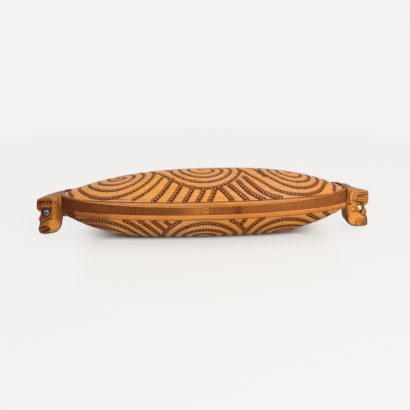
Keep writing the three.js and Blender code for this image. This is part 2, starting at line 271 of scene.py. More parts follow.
def hull_section(x, count=240):
    """Arc length from the bead, half-width and height of one side, from the bead down to the keel."""
    turn = np.linspace(math.pi / 2, 0, count)
    top = sheer(BEAD_BOTTOM, x)
    across = (lens(HULL_HALF_WIDTH, HULL_REACH, x) - FIELD_INSET) * np.sin(turn) ** (2 / SECTION_POWER)
    height = top - (top - keel(x)) * np.cos(turn) ** (2 / SECTION_POWER)
    height = np.maximum(height, 0)
    arc = np.concatenate([[0], np.cumsum(np.hypot(np.diff(across), np.diff(height)))])
    return arc, across, height


def hull_blank():
    columns = np.linspace(-HULL_END, HULL_END, HULL_COLUMNS)
    steps = np.linspace(0, 1, SIDE_ROWS)
    skin, flat, stain, edges = [], [], [], []
    for x in columns:
        arc, across, height = hull_section(x)
        edges.append(arc[-1])
        laid = steps * arc[-1]
        y, z = np.interp(laid, arc, across), np.interp(laid, arc, height)
        y, z = np.concatenate([-y, y[-2::-1]]), np.concatenate([z, z[-2::-1]])
        sheet = np.concatenate([np.full(SIDE_ROWS, x), np.full(SIDE_ROWS - 1, x + FAR_SHEET)])
        laid = np.concatenate([laid, laid[-2::-1]])
        skin.append(np.column_stack([np.full(len(y), x), y, z]))
        flat.append(np.column_stack([sheet, laid, np.zeros(len(y))]))
        # `worn` here is that painted shade at the left end, not wear.
        worn = np.interp(x, LEFT_SHADE_PLACES, PAINTED_LEFT_SHADE)
        # `foot` is that painted contact shadow along the bottom of the hull.
        foot = np.interp(z, CONTACT_SHADOW_HEIGHTS, PAINTED_CONTACT_SHADOW)
        shaded = np.clip(1 - laid / UNDER_BEAD, 0, 1)
        stain.append(np.maximum(np.maximum(shaded, worn), foot))
    turns = np.linspace(math.pi / 2, -math.pi / 2, HOLLOW_ROWS)
    hollow = []
    for x in columns * HOLLOW_END / HULL_END:
        half = lens(HOLLOW_HALF_WIDTH, HOLLOW_REACH, x)
        floor = max(keel(x), 0) + HOLLOW_FLOOR
        y = -half * np.sign(turns) * np.abs(np.sin(turns)) ** (2 / SECTION_POWER)
        z = SEAT_HEIGHT - (SEAT_HEIGHT - floor) * np.cos(turns) ** (2 / SECTION_POWER)
        hollow.append(np.column_stack([np.full(len(y), x), y, z]))
    skin = np.array(skin)
    flat = np.concatenate(flat)
    values = {"flat": flat, "field": np.ones(len(flat)), "stain": np.concatenate(stain)}
    return hollow_block("hull_blank", skin, np.array(hollow), values), columns, np.array(edges)


hull_mesh, hull_columns, hull_edges = hull_blank()
print("hull blank has", len(hull_mesh.polygons), "faces")
print("its longest arc is", round(float(hull_edges.max()), 1), "mm a side")

# %% [markdown]
# The rim is a ring of its own: a smooth bead, a brown band for the row of crescents, the top edge, and
# inside it the wall and ledge that hold the lid. Its cross-section is swept along the near side, round the
# end, back along the far side and round the other end, which closes it into a ring. The band's colour
# changes along it: the left end is nearly black-brown, the right end is orange, and both tips of the top
# edge are brown. The band's brown ground is stain; the darker left end of the band and of the bead is
# painted shade, and so is the near-black of the seat's inner wall.

# %% Blank of the rim
BEAD_STEPS, BAND_STEPS = 9, 12
BEAD_BULGE, BEAD_TURN, BEAD_SHARE = 1.35, 1.25, 0.93
BAND_HOLLOW, BAND_SPAN = 0.35, (0.04, 0.93)
TIP_PLACES, TIP_STAIN = (165, 195), (0, 0.6)
# The band's brown ground is stain; its darker left end, near-black at the tip, is painted shade.
BAND_STAIN_AND_SHADE_PLACES = (-211, -204, -190, -100, -40, -16, -2, 8, 33, 43, 51, 120, 190, 211)
BAND_STAIN_AND_SHADE = (1.0, 0.92, 0.88, 0.85, 0.72, 0.45, 0.6, 0.72, 0.7, 0.95, 0.66, 0.58, 0.66, 0.9)
FAR_RISE_PLACES = (-211, -205, -180, -150, 150, 185, 206, 211)
FAR_RISE = (0.0, 1.6, 1.6, 0.0, 0.0, 3.0, 3.2, 1.4)
RISE_FOOT = SEAT_HEIGHT + 0.4


def rim_ring(x):
    """One cross-section: distance along the box, half-width, height, stain with its painted shade, and
    height within the band.
    """
    crest = lens(HULL_HALF_WIDTH, HULL_REACH, x)
    # `worn` here is the painted shade at the left end of the bead, not wear.
    worn = float(np.interp(x, LEFT_SHADE_PLACES, PAINTED_LEFT_SHADE))
    tip = float(np.interp(abs(x), TIP_PLACES, TIP_STAIN))
    low, middle, top = sheer(BEAD_BOTTOM, x), sheer(BAND_BOTTOM, x), sheer(RIM_TOP, x)
    rows = [(x, crest - FIELD_INSET, low, 1.0, -FAR_SHEET), (x, crest - 1.25, low + 0.3, 0.9, -FAR_SHEET)]
    for turn in np.linspace(-BEAD_TURN, BEAD_TURN, BEAD_STEPS):
        height = (low + middle) / 2 + (middle - low) / 2 * BEAD_SHARE * math.sin(turn) / math.sin(BEAD_TURN)
        rows.append((x, crest - BEAD_BULGE + BEAD_BULGE * math.cos(turn), height, worn, -FAR_SHEET))
    rows.append((x, crest - BAND_INSET - BAND_HOLLOW - 0.1, middle + 0.1, 0.95, -FAR_SHEET))
    for step in np.linspace(*BAND_SPAN, BAND_STEPS):
        inset = BAND_INSET + BAND_HOLLOW * math.sin(math.pi * step) ** 0.3
        height = middle + (top - middle) * step
        stain = np.interp(x, BAND_STAIN_AND_SHADE_PLACES, BAND_STAIN_AND_SHADE)
        rows.append((x, crest - inset, height, stain, height - (top + middle) / 2))
    rows.append((x, crest - BAND_INSET, top - 0.55, max(tip, 0.2), -FAR_SHEET))
    rows.append((x, crest - BAND_INSET - 0.2, top - 0.15, tip, -FAR_SHEET))
    rows.append((x, crest - BAND_INSET - 0.6, top, tip, -FAR_SHEET))
    seat_x = x * SEAT_END / HULL_END
    seat = lens(SEAT_HALF_WIDTH, SEAT_REACH, seat_x)
    rows.append((seat_x, seat + 0.35, top, max(tip, 0.15), -FAR_SHEET))
    # Painted shade: the seat's inner wall is stained near-black, so the gap round the lid reads dark.
    rows.append((seat_x, seat, top - 0.4, 0.9, -FAR_SHEET))
    rows.append((seat_x, seat, SEAT_HEIGHT + 0.3, 0.95, -FAR_SHEET))
    rows.append((seat_x, seat - 0.3, SEAT_HEIGHT, 0.6, -FAR_SHEET))
    hollow_x = x * HOLLOW_END / HULL_END
    hollow = lens(HOLLOW_HALF_WIDTH, HOLLOW_REACH, hollow_x)
    rows.append((hollow_x, hollow + 0.8, SEAT_HEIGHT, 0.0, -FAR_SHEET))
    rows.append((hollow_x, hollow + 0.2, SEAT_HEIGHT - 0.2, 0.0, -FAR_SHEET))
    rows.append((hollow_x, hollow, SEAT_HEIGHT - 0.9, 0.0, -FAR_SHEET))
    return np.array(rows)


def far_rise(x, z):
    """Above the ledge, the far side of the rim stands a little higher near both ends."""
    along = np.interp(x, FAR_RISE_PLACES, FAR_RISE)
    return along * np.clip((z - RISE_FOOT) / (sheer(RIM_TOP, x) - RISE_FOOT), 0, 1)


def rim_blank():
    columns = np.linspace(-HULL_END, HULL_END, HULL_COLUMNS)
    rings = np.array([rim_ring(x) for x in columns])
    near = rings[:, :, :3] * (1, -1, 1)
    far = rings[::-1, :, :3].copy()
    far[:, :, 2] += far_rise(far[:, :, 0], far[:, :, 2])
    skin = np.concatenate([near, far])
    kept = np.concatenate([rings[:, :, 3:], rings[::-1, :, 3:]])
    sheet = np.concatenate([near[:, :, 0], far[:, :, 0] + FAR_SHEET])
    in_band = kept[:, :, 1] > -FAR_SHEET
    laid = np.where(in_band, kept[:, :, 1], 0)
    flat = np.stack([sheet, laid, np.zeros_like(sheet)], -1).reshape(-1, 3)
    tall = sheer(RIM_TOP, skin[:, :, 0]) - sheer(BAND_BOTTOM, skin[:, :, 0])
    tall /= RIM_TOP[0] - BAND_BOTTOM[0]
    numbers = numbered(skin)
    faces = tube_faces(np.concatenate([numbers, numbers[:1]]), capped=False)
    values = {
        "flat": flat,
        "field": in_band.astype(float).ravel(),
        "stain": kept[:, :, 0].ravel(),
        "tall": tall.ravel(),
    }
    return closed_mesh("rim_blank", skin, faces, values)


rim_mesh = rim_blank()
print("rim blank has", len(rim_mesh.polygons), "faces")

# %% [markdown]
# The lid's pattern is three double spirals in a row. Each is two grooves that start beside each other and
# wind outwards together, so that a plain ridge winds between them. A groove's radius grows by the same
# amount for every quarter turn, which is all that a spiral needs. The spirals are a little longer along
# the box than across it. Outside them, grooves run on over the crown from one spiral to the next, and
# short ribs fill the space down to the border. The far side is the near side turned half round, as a
# carver repeats a drawing.

# %% Grooves of the lid, drawn flat
QUARTER = math.pi / 2
TURN_STEP = 0.05


def spiral(centre, stretch, start, growth, first, last, half_turn):
    """A groove's middle line. Its turns are counted in quarters from +X towards the near side."""
    turns = np.arange(first, last, TURN_STEP)
    angle = (turns + half_turn) * QUARTER
    radius = start + growth * turns
    along, across = stretch * radius * np.cos(angle), radius * np.sin(angle)
    return np.column_stack([centre[0] + along, centre[1] + across])


def curve_through(points, steps=10):
    """A smooth line through a few given points."""
    p = np.array(points, float)
    p = np.concatenate([[2 * p[0] - p[1]], p, [2 * p[-1] - p[-2]]])
    t = np.linspace(0, 1, steps, endpoint=False)[:, None]
    parts = []
    for a, b, c, d in zip(p, p[1:], p[2:], p[3:]):
        parts.append(0.5 * (2 * b + (c - a) * t + (2 * a - 5 * b + 4 * c - d) * t ** 2
                            + (3 * b - a - 3 * c + d) * t ** 3))
    return np.concatenate(parts + [p[-2:-1]])


def runs(points, kept):
    """The stretches of a line where `kept` holds."""
    breaks = np.flatnonzero(np.diff(kept.astype(int))) + 1
    parts = np.split(np.arange(len(points)), breaks)
    return [points[part] for part in parts if kept[part[0]] and len(part) > 2]


SPIRALS = {
    "left": {"centre": (-124.5, 0.0), "stretch": 1.16, "start": 3.5, "growth": 6.3},
    "middle": {"centre": (0.0, 0.0), "stretch": 1.12, "start": 10.0, "growth": 5.9},
    "right": {"centre": (131.5, 2.0), "stretch": 1.12, "start": 9.9, "growth": 5.8},
}
CORE_START, CORE_SAG, CORE_TURN = (-9.0, 1.5), (0, 1.2), -0.8
MIDDLE_REACH = 61.0
OUTFLOW = [(-46.4, 35.4), (-51.5, 31), (-59, 21), (-65, 12.5), (-71.5, 4), (-75, -1), (-79, -14), (-86, -25)]
RIGHT_SWEEP = [(52, 2), (57, 12), (62, 20), (70, 29), (84, 40.5), (97, 49), (118, 53), (143, 49.5),
               (162, 40), (172, 29), (178, 15), (183, 7)]
CROSSING = 5  # points of the sweep that lie between two spirals
LEFT_RIB_CENTRE = (-126.0, 0.0)
LEFT_RIB_RADII = (80.0, 97.5, 115.0, 131.0, 146.0)
LEFT_RIB_START, LEFT_RIB_CLEAR = 20, 53.5
RIGHT_RIBS = [
    [(16, 50), (25, 60), (35, 72)],
    [(31, 46), (41, 56), (54, 68), (58, 72)],
    [(44, 37.5), (52.5, 50), (62.5, 59), (75, 65), (82, 68)],
    [(54, 27.5), (62.5, 40), (75, 52.5), (87.5, 59), (100, 62), (106, 62)],
]
GROOVE_MARGIN, RIB_MARGIN, LID_END_MARGIN = 2.2, 0.4, 4


def clip_to_lid(line, margin):
    edge = np.interp(line[:, 0], lid_columns, lid_edges)
    inside = (np.abs(line[:, 1]) < edge - margin) & (np.abs(line[:, 0]) < LID_END - LID_END_MARGIN)
    return runs(line, inside)


def spiral_core(name):
    s = SPIRALS[name]
    lead = np.add(s["centre"], CORE_START)
    first = spiral(**s, first=CORE_TURN, last=0, half_turn=0)[0]
    return curve_through([lead, (lead + first) / 2 - CORE_SAG, first])


def spiral_grooves():
    lines = []
    for name, s in SPIRALS.items():
        lines.append(np.concatenate([spiral_core(name), spiral(**s, first=CORE_TURN, last=3, half_turn=0)]))
    ranges = {
        "left": [(3, 7.4, 0), (8.25, 10.6, 0), (0.45, 9, 2)],
        "middle": [(3, 7.55, 0), (0.45, 7.55, 2)],
        "right": [(3, 8.4, 0), (0.45, 6.1, 2)],
    }
    for name, parts in ranges.items():
        for first, last, half_turn in parts:
            line = spiral(**SPIRALS[name], first=first, last=last, half_turn=half_turn)
            away = np.hypot(line[:, 0] / SPIRALS["middle"]["stretch"], line[:, 1]) > MIDDLE_REACH
            lines += runs(line, away | (name == "middle"))
    return lines


def ribs():
    lines = [curve_through(rib) for rib in RIGHT_RIBS]
    turns = np.linspace(0, QUARTER, 90)
    for radius in LEFT_RIB_RADII:
        arc = np.column_stack([radius * np.cos(turns), radius * np.sin(turns)]) + LEFT_RIB_CENTRE
        clear = np.hypot(arc[:, 0] / SPIRALS["middle"]["stretch"], arc[:, 1]) > LEFT_RIB_CLEAR
        lines += runs(arc, clear & (arc[:, 1] > LEFT_RIB_START))
    return lines


def both_sides(line):
    return [line, -line]


def lid_lines():
    """The narrow grooves of the spirals, and the wider ribs that run down to the border."""
    narrow = spiral_grooves() + both_sides(curve_through(OUTFLOW))
    narrow += [curve_through(RIGHT_SWEEP), -curve_through(RIGHT_SWEEP[:CROSSING])]
    wide = [side for line in ribs() for side in both_sides(line)]
    narrow = [part for line in narrow for part in clip_to_lid(line, GROOVE_MARGIN)]
    return narrow, [part for line in wide for part in clip_to_lid(line, RIB_MARGIN)]


lid_drawing, lid_ribs = lid_lines()
print("lid has", len(lid_drawing), "grooves and", len(lid_ribs), "ribs")

# %% [markdown]
# The hull's pattern is three sets of rings, each set with its own centre. Where two sets meet, the rings
# of one stop at the outermost ring of the other, which leaves the forked places between them.

# %% Grooves of the hull, drawn flat
RINGS = {
    "left": {
        "centre": (-160.0, 49.5),
        "sizes": [(45, 33), (63, 45), (78, 54.5), (93, 62), (108, 69.5), (123, 77)],
    },
    "middle": {"centre": (-5.0, 36.0), "sizes": [(15, 7), (31, 17.5), (46, 30), (61, 43)]},
    "right": {"centre": (114.0, 36.0), "sizes": [(15, 7), (31, 17), (45, 30), (60, 42), (78, 54)]},
}
LEFT_RINGS_END = -30
LAST_RING_STUB, STUB_START = (78, 56), 50
BEAD_MARGIN, KEEL_MARGIN, HULL_FIELD_END = 1.2, 5, 203


def ring(centre, size):
    turns = np.linspace(-0.02, 2 * math.pi, 260)
    return np.column_stack([centre[0] + size[0] * np.cos(turns), centre[1] - size[1] * np.sin(turns)])


def outside(points, centre, size):
    return ((points[:, 0] - centre[0]) / size[0]) ** 2 + ((points[:, 1] - centre[1]) / size[1]) ** 2 > 1


def hull_lines():
    lines = []
    middle, right = RINGS["middle"], RINGS["right"]
    for name, family in RINGS.items():
        for size in family["sizes"]:
            line = ring(family["centre"], size)
            kept = np.ones(len(line), bool)
            if name == "left":
                kept = outside(line, middle["centre"], middle["sizes"][-1]) & (line[:, 0] < LEFT_RINGS_END)
            if name == "right" and size == right["sizes"][-1]:
                kept = outside(line, middle["centre"], middle["sizes"][-1])
            if name == "middle":
                kept = outside(line, right["centre"], right["sizes"][-2])
            lines += runs(line, kept)
    stub = ring(middle["centre"], LAST_RING_STUB)
    lines += runs(stub, (stub[:, 0] > STUB_START) & outside(stub, right["centre"], right["sizes"][-1]))
    clipped = []
    for line in lines:
        deep = np.interp(line[:, 0], hull_columns, hull_edges) - KEEL_MARGIN
        inside = (line[:, 1] > BEAD_MARGIN) & (line[:, 1] < deep)
        clipped += runs(line, inside & (np.abs(line[:, 0]) < HULL_FIELD_END))
    return clipped + [line + (FAR_SHEET, 0) for line in clipped]


hull_drawing = hull_lines()
print("hull has", len(hull_drawing), "grooves")

# %% [markdown]
# Geometry Nodes do the cutting. The trees are long sums of small steps, and a few lines of Python make
# them easier to read: a `Wire` stands for a socket, and adding or multiplying wires adds the Math node
# that does it.

# %% Helpers for node trees
HELPER_VALUES = ("flat", "field", "place", "out", "tall")


class Wire:
    """An output socket that arithmetic can be written with."""

    def __init__(self, net, socket):
        self.net, self.socket = net, socket

    def __add__(self, other):
        return self.net.math("ADD", self, other)

    def __sub__(self, other):
        return self.net.math("SUBTRACT", self, other)

    def __mul__(self, other):
        return self.net.math("MULTIPLY", self, other)

    def scaled(self, amount):
        inputs = {"Vector": self, "Scale": amount}
        return self.net.add("ShaderNodeVectorMath", "Vector", inputs, operation="SCALE")


class Net:
    """A node tree under construction."""

    def __init__(self, tree):
        self.tree = tree

    def add(self, kind, output, inputs=None, **settings):
        node = self.tree.nodes.new(kind)
        for key, value in settings.items():
            setattr(node, key, value)
        for key, value in (inputs or {}).items():
            found = node.inputs[key] if isinstance(key, int) else None
            found = found or [s for s in node.inputs if key in (s.name, s.identifier) and s.enabled][0]
            if isinstance(value, Wire):
                self.tree.links.new(value.socket, found)
            elif value is not None:
                found.default_value = value
        if output is None:
            return node
        return Wire(self, [s for s in node.outputs if s.name == output and s.enabled][0])

    def math(self, operation, a, b=None):
        if isinstance(a, Wire) and a.socket.type in ("VECTOR", "RGBA"):
            return self.add("ShaderNodeVectorMath", "Vector", {0: a, 1: b}, operation=operation)
        return self.add("ShaderNodeMath", "Value", {0: a, 1: b}, operation=operation)

    def ramp(self, value, low, high, to_low=0.0, to_high=1.0, shape="SMOOTHSTEP"):
        inputs = {"Value": value, "From Min": low, "From Max": high, "To Min": to_low, "To Max": to_high}
        return self.add("ShaderNodeMapRange", "Result", inputs, interpolation_type=shape)


def kept_value(net, name, kind="FLOAT"):
    """A value that the points of a skin carry."""
    return net.add("GeometryNodeInputNamedAttribute", "Attribute", {"Name": name}, data_type=kind)


def new_tree(name, inputs):
    """A Geometry Nodes tree with named inputs. Gives the net and a wire for each input."""
    tree = bpy.data.node_groups.new(name, "GeometryNodeTree")
    tree.interface.new_socket("Geometry", in_out="INPUT", socket_type="NodeSocketGeometry")
    for label, (kind, value) in inputs.items():
        socket = tree.interface.new_socket(label, in_out="INPUT", socket_type="NodeSocket" + kind)
        if value is not None:
            socket.default_value = value
    tree.interface.new_socket("Geometry", in_out="OUTPUT", socket_type="NodeSocketGeometry")
    net = Net(tree)
    entry = net.add("NodeGroupInput", None)
    wires = {socket.name: Wire(net, socket) for socket in entry.outputs if socket.name}
    return net, wires


def close_tree(net, geometry, material):
    """Ends a tree as the export needs it: real meshes and a material."""
    real = net.add("GeometryNodeRealizeInstances", "Geometry", {"Geometry": geometry})
    dressed = net.add("GeometryNodeSetMaterial", "Geometry", {"Geometry": real, "Material": material})
    net.add("NodeGroupOutput", None, {"Geometry": dressed})
    return net.tree


def run_tree(name, mesh, tree, values):
    """Runs a tree on a mesh and keeps what it makes as a plain mesh in metres."""
    worker = in_scene(name + "_work", mesh)
    modifier = worker.modifiers.new("make", "NODES")
    modifier.node_group = tree
    for item in tree.interface.items_tree:
        if item.in_out == "INPUT" and item.name in values:
            modifier[item.identifier] = values[item.name]
    seen = worker.evaluated_get(bpy.context.evaluated_depsgraph_get())
    made = bpy.data.meshes.new_from_object(seen)
    made.name = name
    worker.modifiers.clear()
    bpy.data.objects.remove(worker)
    for key in [value.name for value in made.attributes if value.name in HELPER_VALUES]:
        made.attributes.remove(made.attributes[key])
    made.transform(TO_METRES)
    made.shade_smooth()
    print(name, "has", len(made.polygons), "faces")
    return in_scene(name, made)


def drawn(name, lines):
    """A curve object that holds flat lines."""
    curve = bpy.data.curves.new(name, "CURVE")
    curve.dimensions = "3D"
    for line in lines:
        strand = curve.splines.new("POLY")
        strand.points.add(len(line) - 1)
        padded = np.column_stack([line, np.zeros(len(line)), np.ones(len(line))])
        strand.points.foreach_set("co", padded.astype(np.float32).ravel())
    return in_scene(name, curve)


# %% [markdown]
# The wood is a warm, oily-looking timber under a satin varnish. Light ridges are orange, the grooves hold
# dark stain, and the grain runs along the box. The dark comes from the `stain` value that the
# carving leaves on the points, so the stain follows every cut exactly; the same value also carries the
# painted shade set on the blanks and the heads. Wide soft noise makes the browner and yellower patches,
# and fine stretched noise the grain. The same recipe with other colours serves every wooden piece.

# %% Materials
def colour(red, green, blue):
    """A colour given as 0 to 255 in a paint program, turned into the light values that a shader uses."""
    parts = [v / 255 for v in (red, green, blue)]
    return [v / 12.92 if v <= 0.04045 else ((v + 0.055) / 1.055) ** 2.4 for v in parts] + [1.0]


def blend_colours(net, factor, a, b):
    return net.add("ShaderNodeMix", "Result", {"Factor": factor, "A": a, "B": b}, data_type="RGBA")


def wood(name, light, warm, dark, roughness=0.42, grain=1.0, coat=0.5):
    material = bpy.data.materials.new(name)
    material.use_nodes = True
    net = Net(material.node_tree)
    surface = material.node_tree.nodes["Principled BSDF"]
    place = net.add("ShaderNodeTexCoord", "Object")
    along = net.add("ShaderNodeMapping", "Vector", {"Vector": place, "Scale": (9.0, 160.0, 160.0)})
    fibres = {"Vector": along, "Scale": 2.2, "Detail": 6.0, "Roughness": 0.65, "Distortion": 0.35}
    lines = net.add("ShaderNodeTexNoise", "Fac", fibres)
    patches = net.add("ShaderNodeMapping", "Vector", {"Vector": place, "Scale": (6.0, 14.0, 14.0)})
    patch = net.add("ShaderNodeTexNoise", "Fac", {"Vector": patches, "Scale": 1.6, "Detail": 3.0})
    pores = net.add("ShaderNodeMapping", "Vector", {"Vector": place, "Scale": (60.0, 900.0, 900.0)})
    pore = net.add("ShaderNodeTexNoise", "Fac", {"Vector": pores, "Scale": 1.0, "Detail": 2.0})
    base = blend_colours(net, net.ramp(patch, 0.35, 0.65), colour(*light), colour(*warm))
    streak = net.ramp(lines, 0.42, 0.72)
    base = blend_colours(net, streak * (0.42 * grain), base, colour(*[v * 0.62 for v in warm]))
    base = blend_colours(net, net.ramp(pore, 0.6, 0.75) * (0.25 * grain), base, colour(*dark))
    stain = net.add("ShaderNodeAttribute", "Fac", {}, attribute_name="stain", attribute_type="GEOMETRY")
    mottle = net.add("ShaderNodeTexNoise", "Fac", {"Vector": place, "Scale": 420.0, "Detail": 2.0})
    stain = net.ramp(stain + (mottle - 0.5) * 0.22, 0.06, 0.94, shape="LINEAR")
    base = blend_colours(net, stain, base, colour(*dark))
    net.tree.links.new(base.socket, surface.inputs["Base Color"])
    rough = net.ramp(stain * 0.6 + lines * 0.35, 0.0, 1.0, roughness - 0.06, roughness + 0.3, "LINEAR")
    net.tree.links.new(rough.socket, surface.inputs["Roughness"])
    bumps = {"Height": lines * 0.6 + pore * 0.4, "Strength": 0.25 * grain, "Distance": 0.0004}
    relief = net.add("ShaderNodeBump", "Normal", bumps)
    net.tree.links.new(relief.socket, surface.inputs["Normal"])
    surface.inputs["Coat Weight"].default_value = coat
    surface.inputs["Coat Roughness"].default_value = 0.22
    surface.inputs["Coat IOR"].default_value = 1.2
    surface.inputs["Specular IOR Level"].default_value = 0.06
    return material


LID_WOOD = wood("lid_wood", (214, 148, 94), (220, 147, 64), (88, 30, 8))
HULL_WOOD = wood("hull_wood", (208, 143, 88), (202, 130, 58), (72, 24, 5))
RIM_WOOD = wood("rim_wood", (216, 142, 70), (202, 122, 50), (90, 35, 12))
print("materials", [m.name for m in bpy.data.materials])

# %% [markdown]
# Cutting comes in two trees. The first one lowers the skin near a groove's line: it looks up how far each
# point of the unrolled skin is from the nearest line, and pushes the point inwards by a groove's cross-
# section. A little noise in that distance makes the edge wander like a cut made by hand. The same distance
# is kept as the stain.

# %% Tree that cuts the grooves
LOW_SIDE = (0.5, 0.87, 0.0)  # towards the right and the near border, on the unrolled skin
SHOULDER_SPREAD = 8.0  # how much wider than deep the worn shoulder of a groove is


def from_lines(net, lines, flat):
    """How far a point is from a drawing's lines, and how far it is to their low side."""
    strokes = net.add("GeometryNodeObjectInfo", "Geometry", {"Object": lines})
    strands = net.add("GeometryNodeCurveToMesh", "Mesh", {"Curve": strokes})
    inputs = {"Target": strands, "Source Position": flat}
    near = net.add("GeometryNodeProximity", None, inputs, target_element="EDGES")
    offset = flat - Wire(net, near.outputs["Position"])
    side = net.add("ShaderNodeVectorMath", "Value", {0: offset, 1: LOW_SIDE}, operation="DOT_PRODUCT")
    return Wire(net, near.outputs["Distance"]), side


def carving_tree():
    net, wires = new_tree("cut_grooves", {
        "Lines": ("Object", None),
        "Wide Lines": ("Object", None),
        "Extra Width": ("Float", 2.4),
        "Groove Width": ("Float", 4.8),
        "Groove Depth": ("Float", 1.0),
        "Wall Width": ("Float", 0.8),
        "Shoulder": ("Float", 0.35),
        "Wander": ("Float", 0.5),
        "Material": ("Material", None),
    })
    flat = kept_value(net, "flat", "FLOAT_VECTOR")
    field = kept_value(net, "field")
    old = kept_value(net, "stain")
    thin, thin_side = from_lines(net, wires["Lines"], flat)
    broad, broad_side = from_lines(net, wires["Wide Lines"], flat)
    broad = broad - wires["Extra Width"] * 0.5
    away = net.math("MINIMUM", thin, broad)
    nearer = net.add("FunctionNodeCompare", "Result", {"A": thin, "B": broad}, operation="LESS_THAN")
    sides = {"Switch": nearer, "True": thin_side, "False": broad_side}
    side = net.add("GeometryNodeSwitch", "Output", sides, input_type="FLOAT")
    unsteady = net.add("ShaderNodeTexNoise", "Fac", {"Vector": flat, "Scale": 0.22, "Detail": 2.0})
    away = away + (unsteady - 0.5) * wires["Wander"] * 2.0
    half = wires["Groove Width"] * 0.5
    half_wall = wires["Wall Width"] * 0.5
    cut = net.ramp(away, half - half_wall, half + half_wall, 1.0, 0.0) * field
    worn = net.ramp(away, half, half + wires["Shoulder"] * SHOULDER_SPREAD, 1.0, 0.0) * field
    sink = cut * wires["Groove Depth"] + worn * wires["Shoulder"]
    normal = net.add("GeometryNodeInputNormal", "Normal")
    moved = net.add("GeometryNodeSetPosition", "Geometry",
                    {"Geometry": wires["Geometry"], "Offset": normal.scaled(sink * -1.0)})
    depth_of_ink = net.ramp(side, -2.2, 1.2, 0.62, 1.0, "LINEAR")
    ink = net.ramp(away, half - 0.2, half + 0.55, 1.0, 0.0) * field * depth_of_ink
    inputs = {"Geometry": moved, "Name": "stain", "Value": net.math("MAXIMUM", old, ink)}
    kept = net.add("GeometryNodeStoreNamedAttribute", "Geometry", inputs, data_type="FLOAT", domain="POINT")
    return close_tree(net, kept, wires["Material"])


# %% [markdown]
# The second tree sets the row of notches in each groove. On the real box these are a low ridge in the
# groove with small cuts across it, so what is left is a row of little blocks. The tree walks along each
# line in equal steps, finds the place on the unrolled skin that lies there, and stands one small block on
# the wood at that place, turned along the line. Blocks differ a little in size, from a fixed seed.

# %% Tree that sets the notched blocks
def wrapped(net, sheet, where, name, kind="FLOAT_VECTOR"):
    """A value of the real skin, looked up at a place on the unrolled one."""
    inputs = {"Mesh": sheet, "Value": kept_value(net, name, kind), "Sample Position": where}
    return net.add("GeometryNodeSampleNearestSurface", "Value", inputs, data_type=kind)


def walk_along(net, lines, pitch):
    """Points at equal steps along a drawing's lines, and the direction of the line at each."""
    strokes = net.add("GeometryNodeObjectInfo", "Geometry", {"Object": lines})
    walk = net.add("GeometryNodeCurveToPoints", None, {"Curve": strokes, "Length": pitch}, mode="LENGTH")
    return Wire(net, walk.outputs["Points"]), Wire(net, walk.outputs["Tangent"])


def unrolled(net, geometry):
    """The skin laid flat, with its real place and direction kept on its points."""
    position = net.add("GeometryNodeInputPosition", "Position")
    normal = net.add("GeometryNodeInputNormal", "Normal")
    flat = kept_value(net, "flat", "FLOAT_VECTOR")
    sheet = geometry
    for name, value in (("place", position), ("out", normal)):
        inputs = {"Geometry": sheet, "Name": name, "Value": value}
        sheet = net.add("GeometryNodeStoreNamedAttribute", "Geometry", inputs, data_type="FLOAT_VECTOR")
    in_field = {"A": kept_value(net, "field"), "B": 0.5}
    plain = net.add("FunctionNodeCompare", "Result", in_field, operation="LESS_THAN")
    sheet = net.add("GeometryNodeDeleteGeometry", "Geometry", {"Geometry": sheet, "Selection": plain})
    return net.add("GeometryNodeSetPosition", "Geometry", {"Geometry": sheet, "Position": flat})


def notch_tree():
    net, wires = new_tree("set_notches", {
        "Lines": ("Object", None),
        "Block": ("Object", None),
        "Pitch": ("Float", 4.3),
        "Sink": ("Float", 1.2),
        "Shift": ("Float", 0.8),
        "Seed": ("Int", 3),
        "Material": ("Material", None),
    })
    block = net.add("GeometryNodeObjectInfo", "Geometry", {"Object": wires["Block"]})
    points, tangent = walk_along(net, wires["Lines"], wires["Pitch"])
    sheet = unrolled(net, wires["Geometry"])
    across = net.add("ShaderNodeVectorMath", "Vector", {0: tangent, 1: (0, 0, 1)}, operation="CROSS_PRODUCT")
    lean = net.add("ShaderNodeVectorMath", "Value", {0: across, 1: LOW_SIDE}, operation="DOT_PRODUCT")
    moved = net.add("GeometryNodeSetPosition", "Geometry",
                    {"Geometry": points, "Offset": across.scaled(lean * wires["Shift"])})
    here = net.add("GeometryNodeInputPosition", "Position")
    outward = wrapped(net, sheet, here, "out")
    ahead = wrapped(net, sheet, here + tangent.scaled(0.6), "place") - wrapped(net, sheet, here, "place")
    turn = net.add("FunctionNodeAxesToRotation", "Rotation",
                   {"Primary Axis": outward, "Secondary Axis": ahead}, primary_axis="Z", secondary_axis="X")
    size = net.add("FunctionNodeRandomValue", "Value",
                   {"Min": (0.8, 0.85, 0.75), "Max": (1.2, 1.12, 1.15), "Seed": wires["Seed"]},
                   data_type="FLOAT_VECTOR")
    placed = net.add("GeometryNodeInstanceOnPoints", "Instances",
                     {"Points": moved, "Instance": block, "Rotation": turn, "Scale": size})
    sunk = wrapped(net, sheet, here, "place") - wrapped(net, sheet, here, "out").scaled(wires["Sink"])
    placed = net.add("GeometryNodeSetPosition", "Geometry", {"Geometry": placed, "Position": sunk})
    return close_tree(net, placed, wires["Material"])


